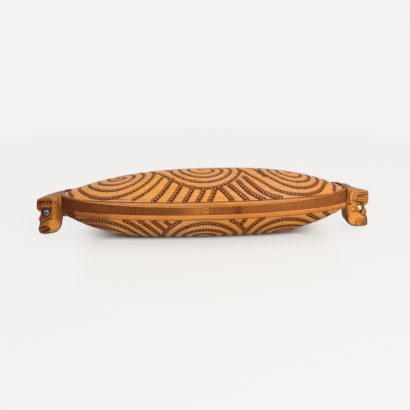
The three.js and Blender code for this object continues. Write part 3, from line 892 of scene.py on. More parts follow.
def notch_block(length, width, height, top_stain):
    """A small block that leans along the groove. Its foot is dark and its worn top is pale."""
    foot, shoulder = (1.0, 1.0, -0.3, 0.0, 1.0), (0.85, 0.92, height * 0.62, 0.1, 0.95)
    top = (0.6, 0.7, height, 0.2, top_stain)
    points, stain = [], []
    for long, wide, z, lean, shade in (foot, shoulder, top):
        for x, y in ((-1, -1), (1, -1), (1, 1), (-1, 1)):
            points.append((length * (x * long / 2 + lean), width * y * wide / 2, z))
            stain.append(shade)
    faces = [[i + j, i + (j + 1) % 4, i + 4 + (j + 1) % 4, i + 4 + j] for i in (0, 4) for j in range(4)]
    faces += [[8, 9, 10, 11], [3, 2, 1, 0]]
    mesh = closed_mesh("notch_block", np.array(points), faces, {"stain": np.array(stain)})
    return in_scene("notch_block", mesh)


CARVING, NOTCHES = carving_tree(), notch_tree()
print("trees", CARVING.name, NOTCHES.name)

# %% [markdown]
# The lid is carved first. Its blank goes through the tree that cuts the grooves, and the second tree sets
# the notched rows on it, once for the spirals and once for the ribs.

# %% Carve the lid
GROOVE = {"Groove Depth": 1.0, "Wall Width": 0.8, "Shoulder": 0.35, "Wander": 0.5}
NOTCH_ROW = {"Pitch": 4.3, "Sink": 1.25}
lid_curves, rib_curves = drawn("lid_curves", lid_drawing), drawn("rib_curves", lid_ribs)
lid_block = notch_block(2.5, 2.6, 1.0, 0.35)
rib_block = notch_block(2.3, 2.3, 1.05, 0.0)
lid_cut = GROOVE | {"Lines": lid_curves, "Wide Lines": rib_curves, "Groove Width": 4.9, "Extra Width": 2.4}
lid_carved = run_tree("lid_carved", lid_mesh.copy(), CARVING, lid_cut | {"Material": LID_WOOD})
lid_rows = NOTCH_ROW | {"Lines": lid_curves, "Block": lid_block, "Material": LID_WOOD}
lid_notches = run_tree("lid_notches", lid_mesh.copy(), NOTCHES, lid_rows)
rib_rows = NOTCH_ROW | {"Lines": rib_curves, "Block": rib_block, "Shift": 0.5, "Material": LID_WOOD}
rib_notches = run_tree("rib_notches", lid_mesh, NOTCHES, rib_rows)

# %% [markdown]
# The hull below the rim is carved the same way, with its sets of rings. It has no wide ribs, so the second
# drawing that the tree asks for is a single point far off the skin.

# %% Carve the hull
hull_curves = drawn("hull_curves", hull_drawing)
no_curves = drawn("no_curves", [np.full((2, 2), -FAR_SHEET)])
hull_block = notch_block(2.4, 2.5, 1.0, 0.15)
hull_cut = GROOVE | {"Lines": hull_curves, "Wide Lines": no_curves, "Groove Width": 6.0}
hull_bowl = run_tree("hull_bowl", hull_mesh.copy(), CARVING, hull_cut | {"Material": HULL_WOOD})
hull_rows = NOTCH_ROW | {"Lines": hull_curves, "Block": hull_block, "Pitch": 4.4, "Shift": 0.2}
hull_notches = run_tree("hull_notches", hull_mesh, NOTCHES, hull_rows | {"Material": HULL_WOOD})

# %% [markdown]
# The rim's band carries a row of thin crescents, standing on end side by side. They open towards the
# middle of the box from both ends, and a small coil marks the place where the two directions meet. The
# crescents of the dark left end are as dark as the band, and towards the middle their crests turn pale.
# The darkening towards the left end is painted shade, as on the band.

# %% Rim with its crescents
CRESCENT = {"pitch": 3.6, "tall": 11.0, "bulge": 3.4, "width": 1.0, "height": 0.6}
CRESCENT_PLACES = (-211, -172, -158, -132, -110, -20, 10, 211)
CRESCENT_STAIN_AND_SHADE = (0.9, 0.8, 0.3, 0.4, 0.6, 0.42, 0.1, 0.0)
BOSS_PLACE, BOSS_GAP = -4.0, 5.5
BAND_REACH = 207.0


def crescent():
    """A thin raised arc, higher in the middle, drawn upright and bulging towards +X."""
    steps = np.linspace(-1, 1, 9)
    middle = np.column_stack([CRESCENT["bulge"] * (1 - steps ** 2), steps * CRESCENT["tall"] / 2])
    thin = CRESCENT["width"] / 2 * (1 - 0.7 * steps ** 4)
    rows = []
    for (x, y), half, step in zip(middle, thin, steps):
        top = CRESCENT["height"] * (1 - 0.8 * step ** 6)
        rows.append([(x - half, y, -0.2), (x, y, top), (x + half, y, -0.2)])
    skin = np.array(rows)
    stain = np.tile([0.75, 0.0, 0.75], len(rows))
    mesh = closed_mesh("crescent", skin, tube_faces(numbered(skin)), {"stain": stain})
    return in_scene("crescent", mesh)


def crescent_tree():
    net, wires = new_tree("set_crescents", {
        "Lines": ("Object", None),
        "Crescent": ("Object", None),
        "Pitch": ("Float", 3.6),
        "Turning Place": ("Float", -4.0),
        "Material": ("Material", None),
    })
    arc = net.add("GeometryNodeObjectInfo", "Geometry", {"Object": wires["Crescent"]})
    points = walk_along(net, wires["Lines"], wires["Pitch"])[0]
    sheet = unrolled(net, wires["Geometry"])
    here = net.add("GeometryNodeInputPosition", "Position")
    outward = wrapped(net, sheet, here, "out")
    axes = {"Primary Axis": outward, "Secondary Axis": (0, 0, 1)}
    up = net.add("FunctionNodeAxesToRotation", "Rotation", axes, primary_axis="Z", secondary_axis="Y")
    real_x = net.add("ShaderNodeSeparateXYZ", "X", {"Vector": wrapped(net, sheet, here, "place")})
    facing = net.add("ShaderNodeSeparateXYZ", "Y", {"Vector": outward})
    side = net.math("SIGN", (real_x - wires["Turning Place"]) * facing * -1.0)
    tall = wrapped(net, sheet, here, "tall", "FLOAT")
    size = net.add("ShaderNodeCombineXYZ", "Vector", {"X": side, "Y": tall, "Z": 1.0})
    placed = net.add("GeometryNodeInstanceOnPoints", "Instances",
                     {"Points": points, "Instance": arc, "Rotation": up, "Scale": size})
    placed = net.add("GeometryNodeSetPosition", "Geometry",
                     {"Geometry": placed, "Position": wrapped(net, sheet, here, "place")})
    return close_tree(net, placed, wires["Material"])


def band_line(start, end):
    return np.array([(start, 0.0), (end, 0.0)])


near_lines = [band_line(-BAND_REACH, BOSS_PLACE - BOSS_GAP), band_line(BOSS_PLACE + BOSS_GAP, BAND_REACH)]
band_curves = drawn("band_curves", near_lines + [line + (FAR_SHEET, 0) for line in near_lines])
one_crescent = crescent()
band_row = {"Lines": band_curves, "Crescent": one_crescent, "Pitch": CRESCENT["pitch"]}
band_row |= {"Turning Place": BOSS_PLACE, "Material": RIM_WOOD}
rim_crescents = run_tree("rim_crescents", rim_mesh.copy(), crescent_tree(), band_row)
# The crescents are darkened along the box; at the left end this is painted shade.
crescent_mesh = rim_crescents.data
crescent_x = np.array([vertex.co.x for vertex in crescent_mesh.vertices]) / MM
crescent_stain_and_shade = [value.value for value in crescent_mesh.attributes["stain"].data]
crescent_stain_and_shade = np.maximum(crescent_stain_and_shade, np.interp(crescent_x, CRESCENT_PLACES, CRESCENT_STAIN_AND_SHADE))
crescent_mesh.attributes["stain"].data.foreach_set("value", crescent_stain_and_shade)
hull_rim = in_scene("hull_rim", rim_mesh)
rim_mesh.transform(TO_METRES)
rim_mesh.materials.append(RIM_WOOD)

# %% [markdown]
# Where the two directions meet, a small coil is carved in the band, on both sides of the box. It is one
# raised line that winds inwards, with a flat top and sloping sides.

# %% Coil in the middle of the band
BOSS = {"radius": 5.0, "turns": 1.7, "half_width": 1.05, "height": 1.0}


def boss_coil(name, side):
    """The coil on one side of the box. `side` is -1 for the near side and 1 for the far side."""
    crest = lens(HULL_HALF_WIDTH, HULL_REACH, BOSS_PLACE) - BAND_INSET - BAND_HOLLOW
    level = (sheer(RIM_TOP, BOSS_PLACE) + sheer(BAND_BOTTOM, BOSS_PLACE)) / 2
    rows = []
    for turn in np.linspace(0.25, BOSS["turns"], 60):
        radius, angle = BOSS["radius"] * turn / BOSS["turns"], 2 * math.pi * turn
        for step, lift in ((-1, -0.3), (-0.45, BOSS["height"]), (0.45, BOSS["height"]), (1, -0.3)):
            r = radius + step * BOSS["half_width"]
            x, z = BOSS_PLACE - r * math.cos(angle) * side, level + r * math.sin(angle)
            rows.append((x, side * (crest + lift), z))
    skin = np.array(rows).reshape(-1, 4, 3)
    stain = np.tile([0.9, 0.0, 0.0, 0.9], len(skin))
    mesh = closed_mesh(name, skin * MM, tube_faces(numbered(skin)), {"stain": stain})
    mesh.materials.append(RIM_WOOD)
    return in_scene(name, mesh)


coils = [boss_coil("coil_near", -1), boss_coil("coil_far", 1)]
print("coils", [coil.name for coil in coils])

# %% [markdown]
# Each end of the hull is carved as a head that hangs from a heavy brow: a wedge in plan, flat on its two
# sides, with a hollow for the eye, a nose, a full cheek and an open mouth low down. A carver saws the
# outline first, splits the wedge, and then cuts the features into the flat sides. The script does the same
# with a distance field: a number at every point of a fine lattice that says how far the wood's surface is.
# The outline and the wedge each give such a number, the larger of the two is the sawn block, and a drawing
# of raised and sunk strokes moves the sides in or out. The surface is then taken where the number is zero,
# which keeps every edge slightly soft, as cut wood is.

# %% Lattice and strokes for the heads
HEAD_CELL = 0.42
HEAD_LOW, HEAD_HIGH = (202.0, -22.0, 1.0), (251.5, 22.0, 70.0)
NECK_ROOT, HEAD_BACK, BROW_FRONT = 203.0, 212.4, 249.0
HEAD_BACK_HALF, HEAD_FRONT_HALF = 17.7, 2.0
NECK_INSET = 1.6
WEDGE_SLOPE = (HEAD_BACK_HALF - HEAD_FRONT_HALF) / (BROW_FRONT - HEAD_BACK)
WEDGE_ANGLE = math.atan(WEDGE_SLOPE)
EYE_SEAT_DEPTH = 4.8

lattice = [np.arange(a, b, HEAD_CELL) for a, b in zip(HEAD_LOW, HEAD_HIGH)]
face_x, face_z = np.meshgrid(lattice[0], lattice[2], indexing="ij")


def smooth_step(value, low, high):
    t = np.clip((value - low) / (high - low), 0, 1)
    return t * t * (3 - 2 * t)


def from_line(points):
    """Distance on the side face to an open line."""
    nearest = np.full(face_x.shape, 1e9)
    for (ax, az), (bx, bz) in zip(points[:-1], points[1:]):
        along = ((face_x - ax) * (bx - ax) + (face_z - az) * (bz - az)) / ((bx - ax) ** 2 + (bz - az) ** 2)
        along = np.clip(along, 0, 1)
        away = np.hypot(face_x - ax - along * (bx - ax), face_z - az - along * (bz - az))
        nearest = np.minimum(nearest, away)
    return nearest


def from_outline(points):
    """Distance on the side face to a closed outline, less than zero inside it."""
    points = np.array(points, float)
    loop = np.concatenate([points, points[:1]])
    inside = np.zeros(face_x.shape, bool)
    for (ax, az), (bx, bz) in zip(loop[:-1], loop[1:]):
        if az == bz:
            continue
        spans = (az > face_z) != (bz > face_z)
        inside ^= spans & (face_x < (bx - ax) * (face_z - az) / (bz - az) + ax)
    return from_line(loop) * np.where(inside, -1, 1)


class Side:
    """The drawing on a head's flat side: how far the wood stands proud, and how dark it is."""

    def __init__(self, tone):
        self.relief = np.zeros(face_x.shape)
        self.tone = np.full(face_x.shape, tone)
        self.ink = np.zeros(face_x.shape)

    def stroke(self, points, width, height, ink=0.0):
        away = from_line(curve_through(points, 5) if len(points) > 2 else points)
        shape = 1 - smooth_step(away, 0, width / 2)
        self.relief += height * shape
        self.ink = np.maximum(self.ink, ink * (1 - smooth_step(away, width * 0.15, width * 0.55)))

    def panel(self, points, height, slope, ink=0.0):
        away = from_outline(curve_through(points + points[:1], 5)[:-1])
        self.relief += height * (1 - smooth_step(away, -slope, 0))
        self.ink = np.maximum(self.ink, ink * (1 - smooth_step(away, -0.7, 0.4)))

    def swelling(self, centre, reach, height):
        away = np.hypot((face_x - centre[0]) / reach[0], (face_z - centre[1]) / reach[1])
        self.relief += height * np.clip(1 - away ** 2, 0, 1) ** 0.8

    def tint(self, centre, reach, tone):
        """A patch of paler or darker tone with soft edges."""
        away = np.hypot((face_x - centre[0]) / reach[0], (face_z - centre[1]) / reach[1])
        self.tone += (tone - self.tone) * (1 - smooth_step(away, 0.55, 1.15))

    def seat(self, centre, opening, power=2.0):
        """The hole for the shell. `opening` is half its length and height, and a low power points it."""
        away = (np.abs((face_x - centre[0]) / opening[0]) ** power
                + np.abs((face_z - centre[1]) / opening[1]) ** power) ** (1 / power)
        self.relief = np.where(away < 1, -EYE_SEAT_DEPTH, self.relief)
        self.ink = np.where(away < 1.25, 0.95, self.ink)

    def painted_edge_shade(self, outline, reach, tone):
        """Painted shade where the flat side turns under, low down."""
        edge = smooth_step(from_outline(outline), -reach, -0.3 * reach) * smooth_step(face_z, 36, 22)
        self.tone += (tone - self.tone) * edge

    def clean(self, away, low, high, share):
        """Takes part of the ink off again where `away` is small, as on a worn top."""
        self.ink *= 1 - share * (1 - smooth_step(away, low, high))

    def stain(self):
        return np.maximum(self.tone, self.ink)


def row(start, end, count):
    """Evenly spaced places from start to end."""
    return [tuple(np.add(start, np.subtract(end, start) * i / (count - 1))) for i in range(count)]


print("lattice of", [len(axis) for axis in lattice], "points a head")

# %% [markdown]
# The two heads were cut by eye and differ. Both share the neck, the wedge and the way the features sit,
# and each has its own outline and its own strokes, set down here from the brow to the chin.

# %% Drawings of the two heads
NECK = [(NECK_ROOT, 36.0), (NECK_ROOT, 65.8), (212.0, 65.8)]
LEFT_OUTLINE = NECK + [(222, 64.6), (234, 62.0), (243, 59.2), (248.6, 56.8)] + list(curve_through([
    (249.4, 50), (249.4, 43.4), (247.4, 40.0), (244.2, 38.4), (244.6, 34), (247.2, 28.2), (246.6, 24.6),
    (245.8, 21.8), (247.6, 16.6), (248.6, 11.4), (246.8, 6.2), (241.4, 4.2), (233.6, 5.2), (226, 8),
    (219.6, 11.6), (214.8, 17.4), (212.4, 25), (211.8, 34)], 4))
RIGHT_BROW_TOP = [(212, 67.6), (219, 67.0), (226, 63.4), (234, 61.2), (243, 60.0), (249.3, 58.4)]
RIGHT_OUTLINE = NECK[:2] + RIGHT_BROW_TOP + list(curve_through([
    (249.8, 50), (249.8, 41.0), (247.8, 37.4), (244.4, 35.4), (245.8, 31.6), (248.0, 27.2), (247.4, 23.0),
    (249.4, 17), (250.4, 10.6), (249.6, 4.6), (242.6, 3.2), (234.6, 3.9), (227, 6.0), (220.0, 9.1),
    (214.8, 14.0), (212.4, 20.8), (211.8, 28), (211.8, 34)], 4))
EYES = {"left": (237.0, 37.6), "right": (237.6, 32.8)}
THINNEST = 1.0


def below_brow(side, front, back):
    """Everything under the brow's lower edge lies a little deeper than the brow."""
    edge = np.interp(face_x, (back[0], front[0]), (back[1], front[1]))
    reach = smooth_step(face_x, back[0] - 6, back[0])
    side.relief -= 1.7 * smooth_step(edge - face_z, -0.7, 0.9) * reach


def cheek_back(side, line):
    """Behind the cheek the wood falls away to the neck, and painted shade darkens it."""
    away = np.interp(face_z, [z for x, z in line], [x for x, z in line]) - face_x
    shape = smooth_step(away, -1.0, 3.6) * smooth_step(face_z, 44, 34)
    side.relief -= 5.0 * shape
    # This dark ink is painted shade on the back of the jaw.
    side.ink = np.maximum(side.ink, 0.85 * shape)


def left_side():
    # The left head's base tone is darker than the right head's; that difference is painted shade, as the
    # light falls from the right.
    side = Side(0.62)
    side.tint((244, 50), (9, 9), 0.75)
    side.tint((238, 59.6), (13, 3), 0.66)
    side.tint((234, 49.8), (10, 2.6), 0.48)
    side.tint((222, 61.5), (9, 4), 0.35)
    side.tint((223.6, 42), (4.4, 14), 0.28)
    side.tint((224.6, 19), (12, 12.5), 0.06)
    side.tint((237, 22), (7, 4.5), 0.5)
    side.tint((244, 32), (4.5, 7), 0.75)
    side.tint((212.6, 42), (4, 16), 0.72)
    side.tint((214.6, 60), (1.6, 7), 0.4)
    below_brow(side, (249, 43), (224, 48))
    side.swelling((224.6, 19.5), (15.4, 14), 4.6)
    under_brow = [(249.4, 46.4), (240, 49.4), (228, 51.8), (226.4, 58), (237, 57.4), (249.4, 54.6)]
    side.panel(under_brow, -0.9, 1.2, 0.95)
    for x, z in row((245.6, 50), (231.6, 54), 4):
        side.stroke([(x + 0.5, z - 2.2), (x - 0.4, z + 2.2)], 3.0, 1.0)
        side.clean(np.hypot((face_x - x) / 1.5, (face_z - z) / 2.4), 0.8, 1.0, 0.45)
    side.stroke([(249, 60), (236, 63), (220, 65.5)], 3.0, -0.5, 0.35)
    side.stroke([(248.6, 58.2), (236, 60), (224, 61)], 1.3, -0.5, 0.75)
    side.stroke([(249, 44.4), (240, 48.4), (231, 50.4), (224, 50.6)], 2.2, 0.9)
    side.stroke([(248.6, 42.2), (241, 46), (233, 47.6), (226, 47.8)], 1.3, -0.9, 0.9)
    side.panel([(243.4, 43.4), (236, 46.6), (226.4, 47), (227, 42.4), (230.4, 35), (235.4, 30), (242, 28.6),
                (244, 34.4)], -2.4, 2.6, 0.85)
    side.stroke([(225, 46), (227.4, 39), (230.8, 33.4), (236, 29.2), (240.6, 27.6)], 2.0, 1.2)
    side.stroke([(223, 46), (225.2, 39), (229, 32), (234.4, 27.6)], 1.0, -0.8, 0.55)
    side.seat(EYES["left"], (4.3, 4.5))
    side.stroke([(227.6, 30), (232.6, 28.8), (237.6, 25.6), (243.6, 20.8)], 2.2, -1.6, 0.95)
    side.swelling((245, 28), (5, 6), 1.8)
    side.stroke([(246.8, 30.2), (243.6, 29.6), (242.4, 27), (243.6, 24.4)], 1.1, -0.8, 0.75)
    side.stroke([(247, 27.4), (244.4, 26.2)], 3.0, -1.2, 1.0)
    for step in range(3):
        inset = 2.4 * step
        side.stroke([(229 + inset, 26 - inset), (222 + inset / 2, 26.4 - inset), (217.6 + inset, 19.6),
                     (221 + inset, 13.8 + inset / 3)], 0.8, -0.2, 0.18)
    mouth = [(248.2, 11.6), (246.4, 7.6), (240, 6.8), (233.4, 10), (230, 14.4), (231.6, 18.2), (237.6, 18.6),
             (243.6, 16.2)]
    side.panel(mouth, -1.9, 1.8, 0.85)
    side.stroke(mouth[3:] + mouth[:1], 2.0, 0.9, 0.25)
    side.stroke([(245.4, 9.2), (240, 12), (234.6, 15.8)], 2.8, 1.5)
    side.clean(from_line([(245, 9.4), (235, 15.6)]), 0.5, 1.5, 0.45)
    side.stroke([(247, 12.4), (240.6, 14.6), (235, 17.6)], 1.0, -0.7, 1.0)
    side.stroke([(243, 7.8), (237.6, 10.2), (232.6, 14)], 1.0, -0.8, 1.0)
    side.stroke([(219, 54), (219.8, 44), (218.6, 36), (220.4, 30)], 4.6, 0.7)
    for x, z in row((218.8, 53), (218.4, 30.6), 10):
        side.stroke([(x - 1.8, z + 0.5), (x + 1.8, z - 0.5)], 1.2, -0.8, 0.7)
    side.stroke([(216.2, 64), (216.6, 50), (215.8, 36), (218, 24)], 1.3, -1.1, 0.95)
    for x, z in row((213.8, 50), (213.6, 34), 7):
        side.stroke([(x - 1.3, z + 0.8), (x + 1.4, z - 0.4)], 1.2, -0.7, 0.95)
    cheek_back(side, [(220.6, 12), (216.2, 18), (215.2, 25), (214.6, 33), (213, 42)])
    side.painted_edge_shade(LEFT_OUTLINE, 3.6, 0.85)
    return side


def right_side():
    side = Side(0.38)
    side.tint((211, 58), (5.5, 11), 0.72)
    side.tint((238, 50), (15, 10), 0.48)
    side.tint((246, 51.8), (2.2, 1.4), 0.0)
    side.tint((237, 48.4), (9, 1.6), 0.2)
    side.tint((221, 52.6), (3.2, 8.6), 0.0)
    side.tint((226.6, 53), (3.4, 2.8), 0.38)
    side.tint((228, 17.6), (17, 12.6), 0.0)
    side.tint((224, 36), (6.4, 7), 0.08)
    side.tint((244, 28), (4, 7), 0.2)
    below_brow(side, (249.6, 41), (225, 47.6))
    side.swelling((228, 18), (18.5, 14.5), 4.8)
    side.stroke([(249, 61), (236, 64), (220, 66)], 3.0, -0.4, 0.2)
    side.stroke([(249.4, 57), (240, 57.4), (230, 58)], 1.4, -0.9, 0.85)
    side.stroke([(249.4, 53.4), (240, 53.6), (229.6, 54)], 1.9, -1.3, 1.0)
    side.stroke([(249.4, 49.8), (243, 50.2), (231, 50.6)], 1.3, -0.9, 0.85)
    side.stroke([(229.8, 53), (236.4, 52.6)], 3.4, -0.9, 0.85)
    side.stroke([(238.6, 52.6), (242.6, 52.4)], 2.6, -0.9, 0.8)
    side.stroke([(249.4, 48), (239, 48.4), (226, 50.6)], 2.0, 0.8)
    side.stroke([(249.6, 46), (239, 46.4), (228, 48.6)], 1.2, -0.8, 0.7)
    side.stroke([(249.6, 43), (238, 44.2), (229, 46.8)], 2.0, 0.9)
    side.panel([(243, 39.4), (239, 42), (230.6, 44.6), (225, 48), (227.4, 43), (231.4, 37.6), (232.2, 31),
                (236, 27.4), (241, 29.4), (242.6, 35)], -2.6, 2.2, 0.55)
    side.stroke([(242.6, 40.6), (236, 42.4), (230, 44)], 2.6, -1.0, 1.0)
    side.seat(EYES["right"], (3.0, 5.7), 1.35)
    side.stroke([(231, 38.2), (231.6, 32), (235, 27.4)], 1.5, 1.0)
    side.stroke([(242.2, 38.8), (243, 34), (240.8, 28.4)], 1.6, 1.0)
    for step in range(3):
        rise = 3.2 * step
        side.stroke([(219.4 + rise / 3, 33.6 + rise / 2), (223.6, 36.2 + rise / 2), (228, 32.8 + rise * 0.9),
                     (230.4, 30 + rise)], 1.2, -0.9, 0.6)
    side.stroke([(222.4, 30.6), (229.6, 30), (235, 26.8), (240, 23), (243.6, 20.2)], 2.0, -1.5, 0.8)
    side.stroke([(238, 27.6), (241.4, 25), (244.4, 22.4)], 1.2, -0.8, 0.55)
    side.swelling((244.2, 27), (5.4, 6.6), 1.8)
    side.stroke([(247.4, 30.4), (244, 31), (242.4, 27.6), (243.6, 24.4)], 1.1, -0.9, 0.7)
    side.stroke([(247.6, 27), (245.4, 27.2)], 1.8, -1.0, 0.9)
    side.stroke([(219, 46), (219.2, 52), (220.8, 57), (223.4, 60)], 3.2, 1.5)
    side.stroke([(216.8, 46), (216.6, 53), (218.6, 60.6), (221, 63)], 1.6, -1.4, 1.0)
    side.stroke([(222.8, 47.6), (222.4, 53.6), (224.4, 58.6)], 1.5, -1.0, 0.85)
    side.stroke([(214.4, 44), (217.4, 42.4), (219.4, 41.6)], 3.4, -1.7, 0.95)
    side.stroke([(219.4, 48), (225, 46.6)], 1.2, -0.8, 0.6)
    side.stroke([(214.8, 28), (217.4, 23.6)], 1.8, -1.2, 0.9)
    for step in range(3):
        drop = 3.2 * step
        side.stroke([(227.6 + 1.4 * step, 13 - drop), (229 + step, 16.4 - drop), (233, 18.2 - drop),
                     (240, 16.0 - drop), (249, 11.6 - drop)], 1.7, -1.2, 0.8 + 0.08 * step)
        lip = [(230 + step, 14 - drop), (233.6, 16.4 - drop), (240, 14.4 - drop), (249, 10 - drop)]
        side.stroke(lip, 1.3, 0.6)
    side.stroke([(215.2, 64), (214.8, 50), (213.4, 40), (214.4, 30)], 1.3, -1.0, 0.9)
    cheek_back(side, [(221, 9.6), (216.4, 15), (214.6, 20), (214.4, 28), (214.2, 36), (212, 44)])
    side.painted_edge_shade(RIGHT_OUTLINE, 4.4, 0.8)
    return side


# %% [markdown]
# With the outline, the wedge and the drawing ready, one function makes the head. The edges are rounder low
# down, where the cheeks and chin are, and crisp at the brow. The end of the lid's seat is cut out of the
# neck.

# %% Make the heads
ROUND_HEIGHTS, ROUND_SIZES = (20, 30, 44, 50), (3.4, 2.6, 1.4, 1.0)
FRONT_PLACES, FRONT_SHARE = (240, 247), (1.0, 0.45)
PLAIN_HEIGHTS, PLAIN_TONE_AND_LOW_SHADE = (14, 30, 48, 58), (0.92, 0.78, 0.5, 0.6)


def smooth_larger(a, b, width):
    blend = np.maximum(width - np.abs(a - b), 0) / width
    return np.maximum(a, b) + blend * blend * width / 4


def head_half_width(x):
    """Half-width of the head: the neck keeps inside the hull, then the wedge narrows to the brow."""
    neck = lens(HULL_HALF_WIDTH, HULL_REACH, np.minimum(x, HEAD_BACK)) - NECK_INSET
    return np.where(x < HEAD_BACK, neck, HEAD_FRONT_HALF + (BROW_FRONT - x) * WEDGE_SLOPE)


def head_stain_and_shade(points, side):
    """The drawing's stain and painted shade on the flat sides, and a plain brown on the top, the back and
    underneath, which painted shade makes darker low down and behind.
    """
    column = np.floor((points[:, [0, 2]] - (HEAD_LOW[0], HEAD_LOW[2])) / HEAD_CELL + 0.5).astype(int)
    column = tuple(np.clip(column, 0, np.array(face_x.shape) - 1).T)
    inside = head_half_width(points[:, 0]) - np.abs(points[:, 1])
    depth = inside * math.cos(WEDGE_ANGLE) + side.relief[column]
    drawn_side = 1 - smooth_step(depth, 0.9, 2.4)
    # Painted shade makes the plain surfaces darker low down and behind the head.
    behind = smooth_step(HEAD_BACK + 2.5 - points[:, 0], 0, 3)
    plain = np.interp(points[:, 2], PLAIN_HEIGHTS, PLAIN_TONE_AND_LOW_SHADE) + 0.15 * behind
    plain += 0.1 * smooth_step(points[:, 2], 62.5, 64.5)
    return side.stain()[column] * drawn_side + np.clip(plain, 0, 1) * (1 - drawn_side)


def head_mesh(name, outline, side, turned):
    x, y, z = np.meshgrid(*lattice, indexing="ij", sparse=True)
    sawn = from_outline(outline)[:, None, :]
    side.relief *= face_x > HEAD_BACK
    side.relief = np.maximum(side.relief, THINNEST - head_half_width(face_x))
    flank = (np.abs(y) - head_half_width(x)) * math.cos(WEDGE_ANGLE) - side.relief[:, None, :]
    round_off = np.interp(z, ROUND_HEIGHTS, ROUND_SIZES) * np.interp(x, FRONT_PLACES, FRONT_SHARE)
    wood_field = smooth_larger(sawn, flank, round_off)
    seat = lens(SEAT_HALF_WIDTH, SEAT_REACH, np.minimum(x, SEAT_END))
    recess = np.maximum(np.maximum(x - SEAT_END, np.abs(y) - seat), SEAT_HEIGHT - z)
    wood_field = np.maximum(wood_field, -recess)
    grid = openvdb.FloatGrid(1.0)
    grid.copyFromArray(np.clip(wood_field, -1.0, 1.0).astype(np.float32), tolerance=0.0)
    points, quads = grid.convertToQuads(isovalue=0.0)
    points = points * HEAD_CELL + np.array(HEAD_LOW)
    stain = head_stain_and_shade(points, side)
    if turned:
        points = points * (-1, -1, 1)
    mesh = closed_mesh(name, points * MM, quads[:, ::-1].tolist(), {"stain": stain})
    print(name, "has", len(mesh.polygons), "faces")
    return mesh


HEAD_WOOD = wood("head_wood", (232, 155, 76), (222, 138, 52), (80, 29, 10))
head_left = in_scene("head_left", head_mesh("head_left", LEFT_OUTLINE, left_side(), True))
head_right = in_scene("head_right", head_mesh("head_right", RIGHT_OUTLINE, right_side(), False))
for head in (head_left, head_right):
    head.data.materials.append(HEAD_WOOD)

# %% [markdown]
# The eyes are rings of polished shell round a pupil, which on the left head is dark wood. This shell has
# layers that give blue, green and silver, with dark veins between them. Noise chooses among the colours,
# and the edges of Voronoi cells make the veins. The left head's shell is deep blue. The right head's is
# pale green with painted highlight, its pupil is painted in the same pale highlight colours, and the wood
# leaves only a lozenge of it open.

# %% Shell rings and pupils
SHELL_OUTLINE = [(1.5, 0.0), (4.3, 0.0), (4.3, 1.2), (3.9, 1.6), (3.0, 1.95), (2.1, 2.1), (1.5, 2.05)]
PUPIL_OUTLINE = [(0.0, -0.3), (1.3, -0.3), (1.3, 2.0), (0.9, 2.25), (0.0, 2.35)]


def shell_material(name, shades, vein, vein_reach):
    material = bpy.data.materials.new(name)
    material.use_nodes = True
    net = Net(material.node_tree)
    surface = material.node_tree.nodes["Principled BSDF"]
    place = net.add("ShaderNodeTexCoord", "Object")
    swirl = net.add("ShaderNodeTexNoise", "Color", {"Vector": place, "Scale": 260.0, "Detail": 2.0})
    bent = place + swirl.scaled(0.004)
    cloud = net.add("ShaderNodeTexNoise", "Fac", {"Vector": bent, "Scale": 330.0, "Detail": 1.0})
    base = blend_colours(net, net.ramp(cloud, 0.36, 0.5), colour(*shades[0]), colour(*shades[1]))
    base = blend_colours(net, net.ramp(cloud, 0.52, 0.64), base, colour(*shades[2]))
    layers = {"Vector": bent, "Scale": 430.0}
    cells = net.add("ShaderNodeTexVoronoi", "Distance", layers, feature="DISTANCE_TO_EDGE")
    base = blend_colours(net, net.ramp(cells, 0.02, vein_reach, 1.0, 0.0), base, colour(*vein))
    net.tree.links.new(base.socket, surface.inputs["Base Color"])
    surface.inputs["Roughness"].default_value = 0.18
    surface.inputs["Coat Weight"].default_value = 0.4
    return material


def turned_piece(name, outline, eye, across, turned, material):
    """An outline turned about the eye's axis and set in its seat."""
    out = np.array((math.sin(WEDGE_ANGLE), across * math.cos(WEDGE_ANGLE), 0.0))
    up = np.array((0, 0, 1))
    along = np.cross(up, out)
    seat = np.array((eye[0], across * float(head_half_width(eye[0])), eye[1])) - EYE_SEAT_DEPTH * out
    closed = outline[0][0] > 0
    rings = [(r, h) for r, h in outline if r > 0]
    turns = np.linspace(0, 2 * math.pi, 40, endpoint=False)
    spokes = [math.cos(turn) * along + math.sin(turn) * up for turn in turns]
    skin = np.array([[seat + radius * spoke + height * out for spoke in spokes] for radius, height in rings])
    if closed:
        skin = np.concatenate([skin, skin[:1]])
    numbers = numbered(skin)
    if closed:
        numbers[-1] = numbers[0]
    faces = tube_faces(numbers, capped=not closed)
    points = skin[:-1] if closed else skin
    if turned:
        points = points * (-1, -1, 1)
    mesh = closed_mesh(name, points * MM, faces, {})
    mesh.materials.append(material)
    return in_scene(name, mesh)


BLUE_SHADES, BLUE_VEIN = ((52, 88, 140), (118, 164, 198), (200, 220, 230)), (26, 32, 54)
# The pale shell's colours are partly the shell's own green and partly painted highlight.
PALE_HIGHLIGHT_SHADES, PALE_HIGHLIGHT_VEIN = ((150, 196, 190), (214, 228, 214), (238, 240, 230)), (96, 120, 110)
HIGHLIGHT_SHADES, HIGHLIGHT_VEIN = ((196, 212, 200), (222, 230, 218), (238, 240, 230)), (150, 165, 150)
BLUE_SHELL = shell_material("blue_shell", BLUE_SHADES, BLUE_VEIN, 0.2)
SHELL_WITH_PAINTED_HIGHLIGHT = shell_material("shell_with_painted_highlight", PALE_HIGHLIGHT_SHADES, PALE_HIGHLIGHT_VEIN, 0.07)
PUPIL_WOOD = wood("pupil_wood", (74, 60, 58), (54, 44, 48), (24, 18, 20), 0.3)
# Painted highlight: the right pupil is coloured like the pale glare on its shell.
PUPIL_WITH_PAINTED_HIGHLIGHT = shell_material("pupil_with_painted_highlight", HIGHLIGHT_SHADES, HIGHLIGHT_VEIN, 0.05)

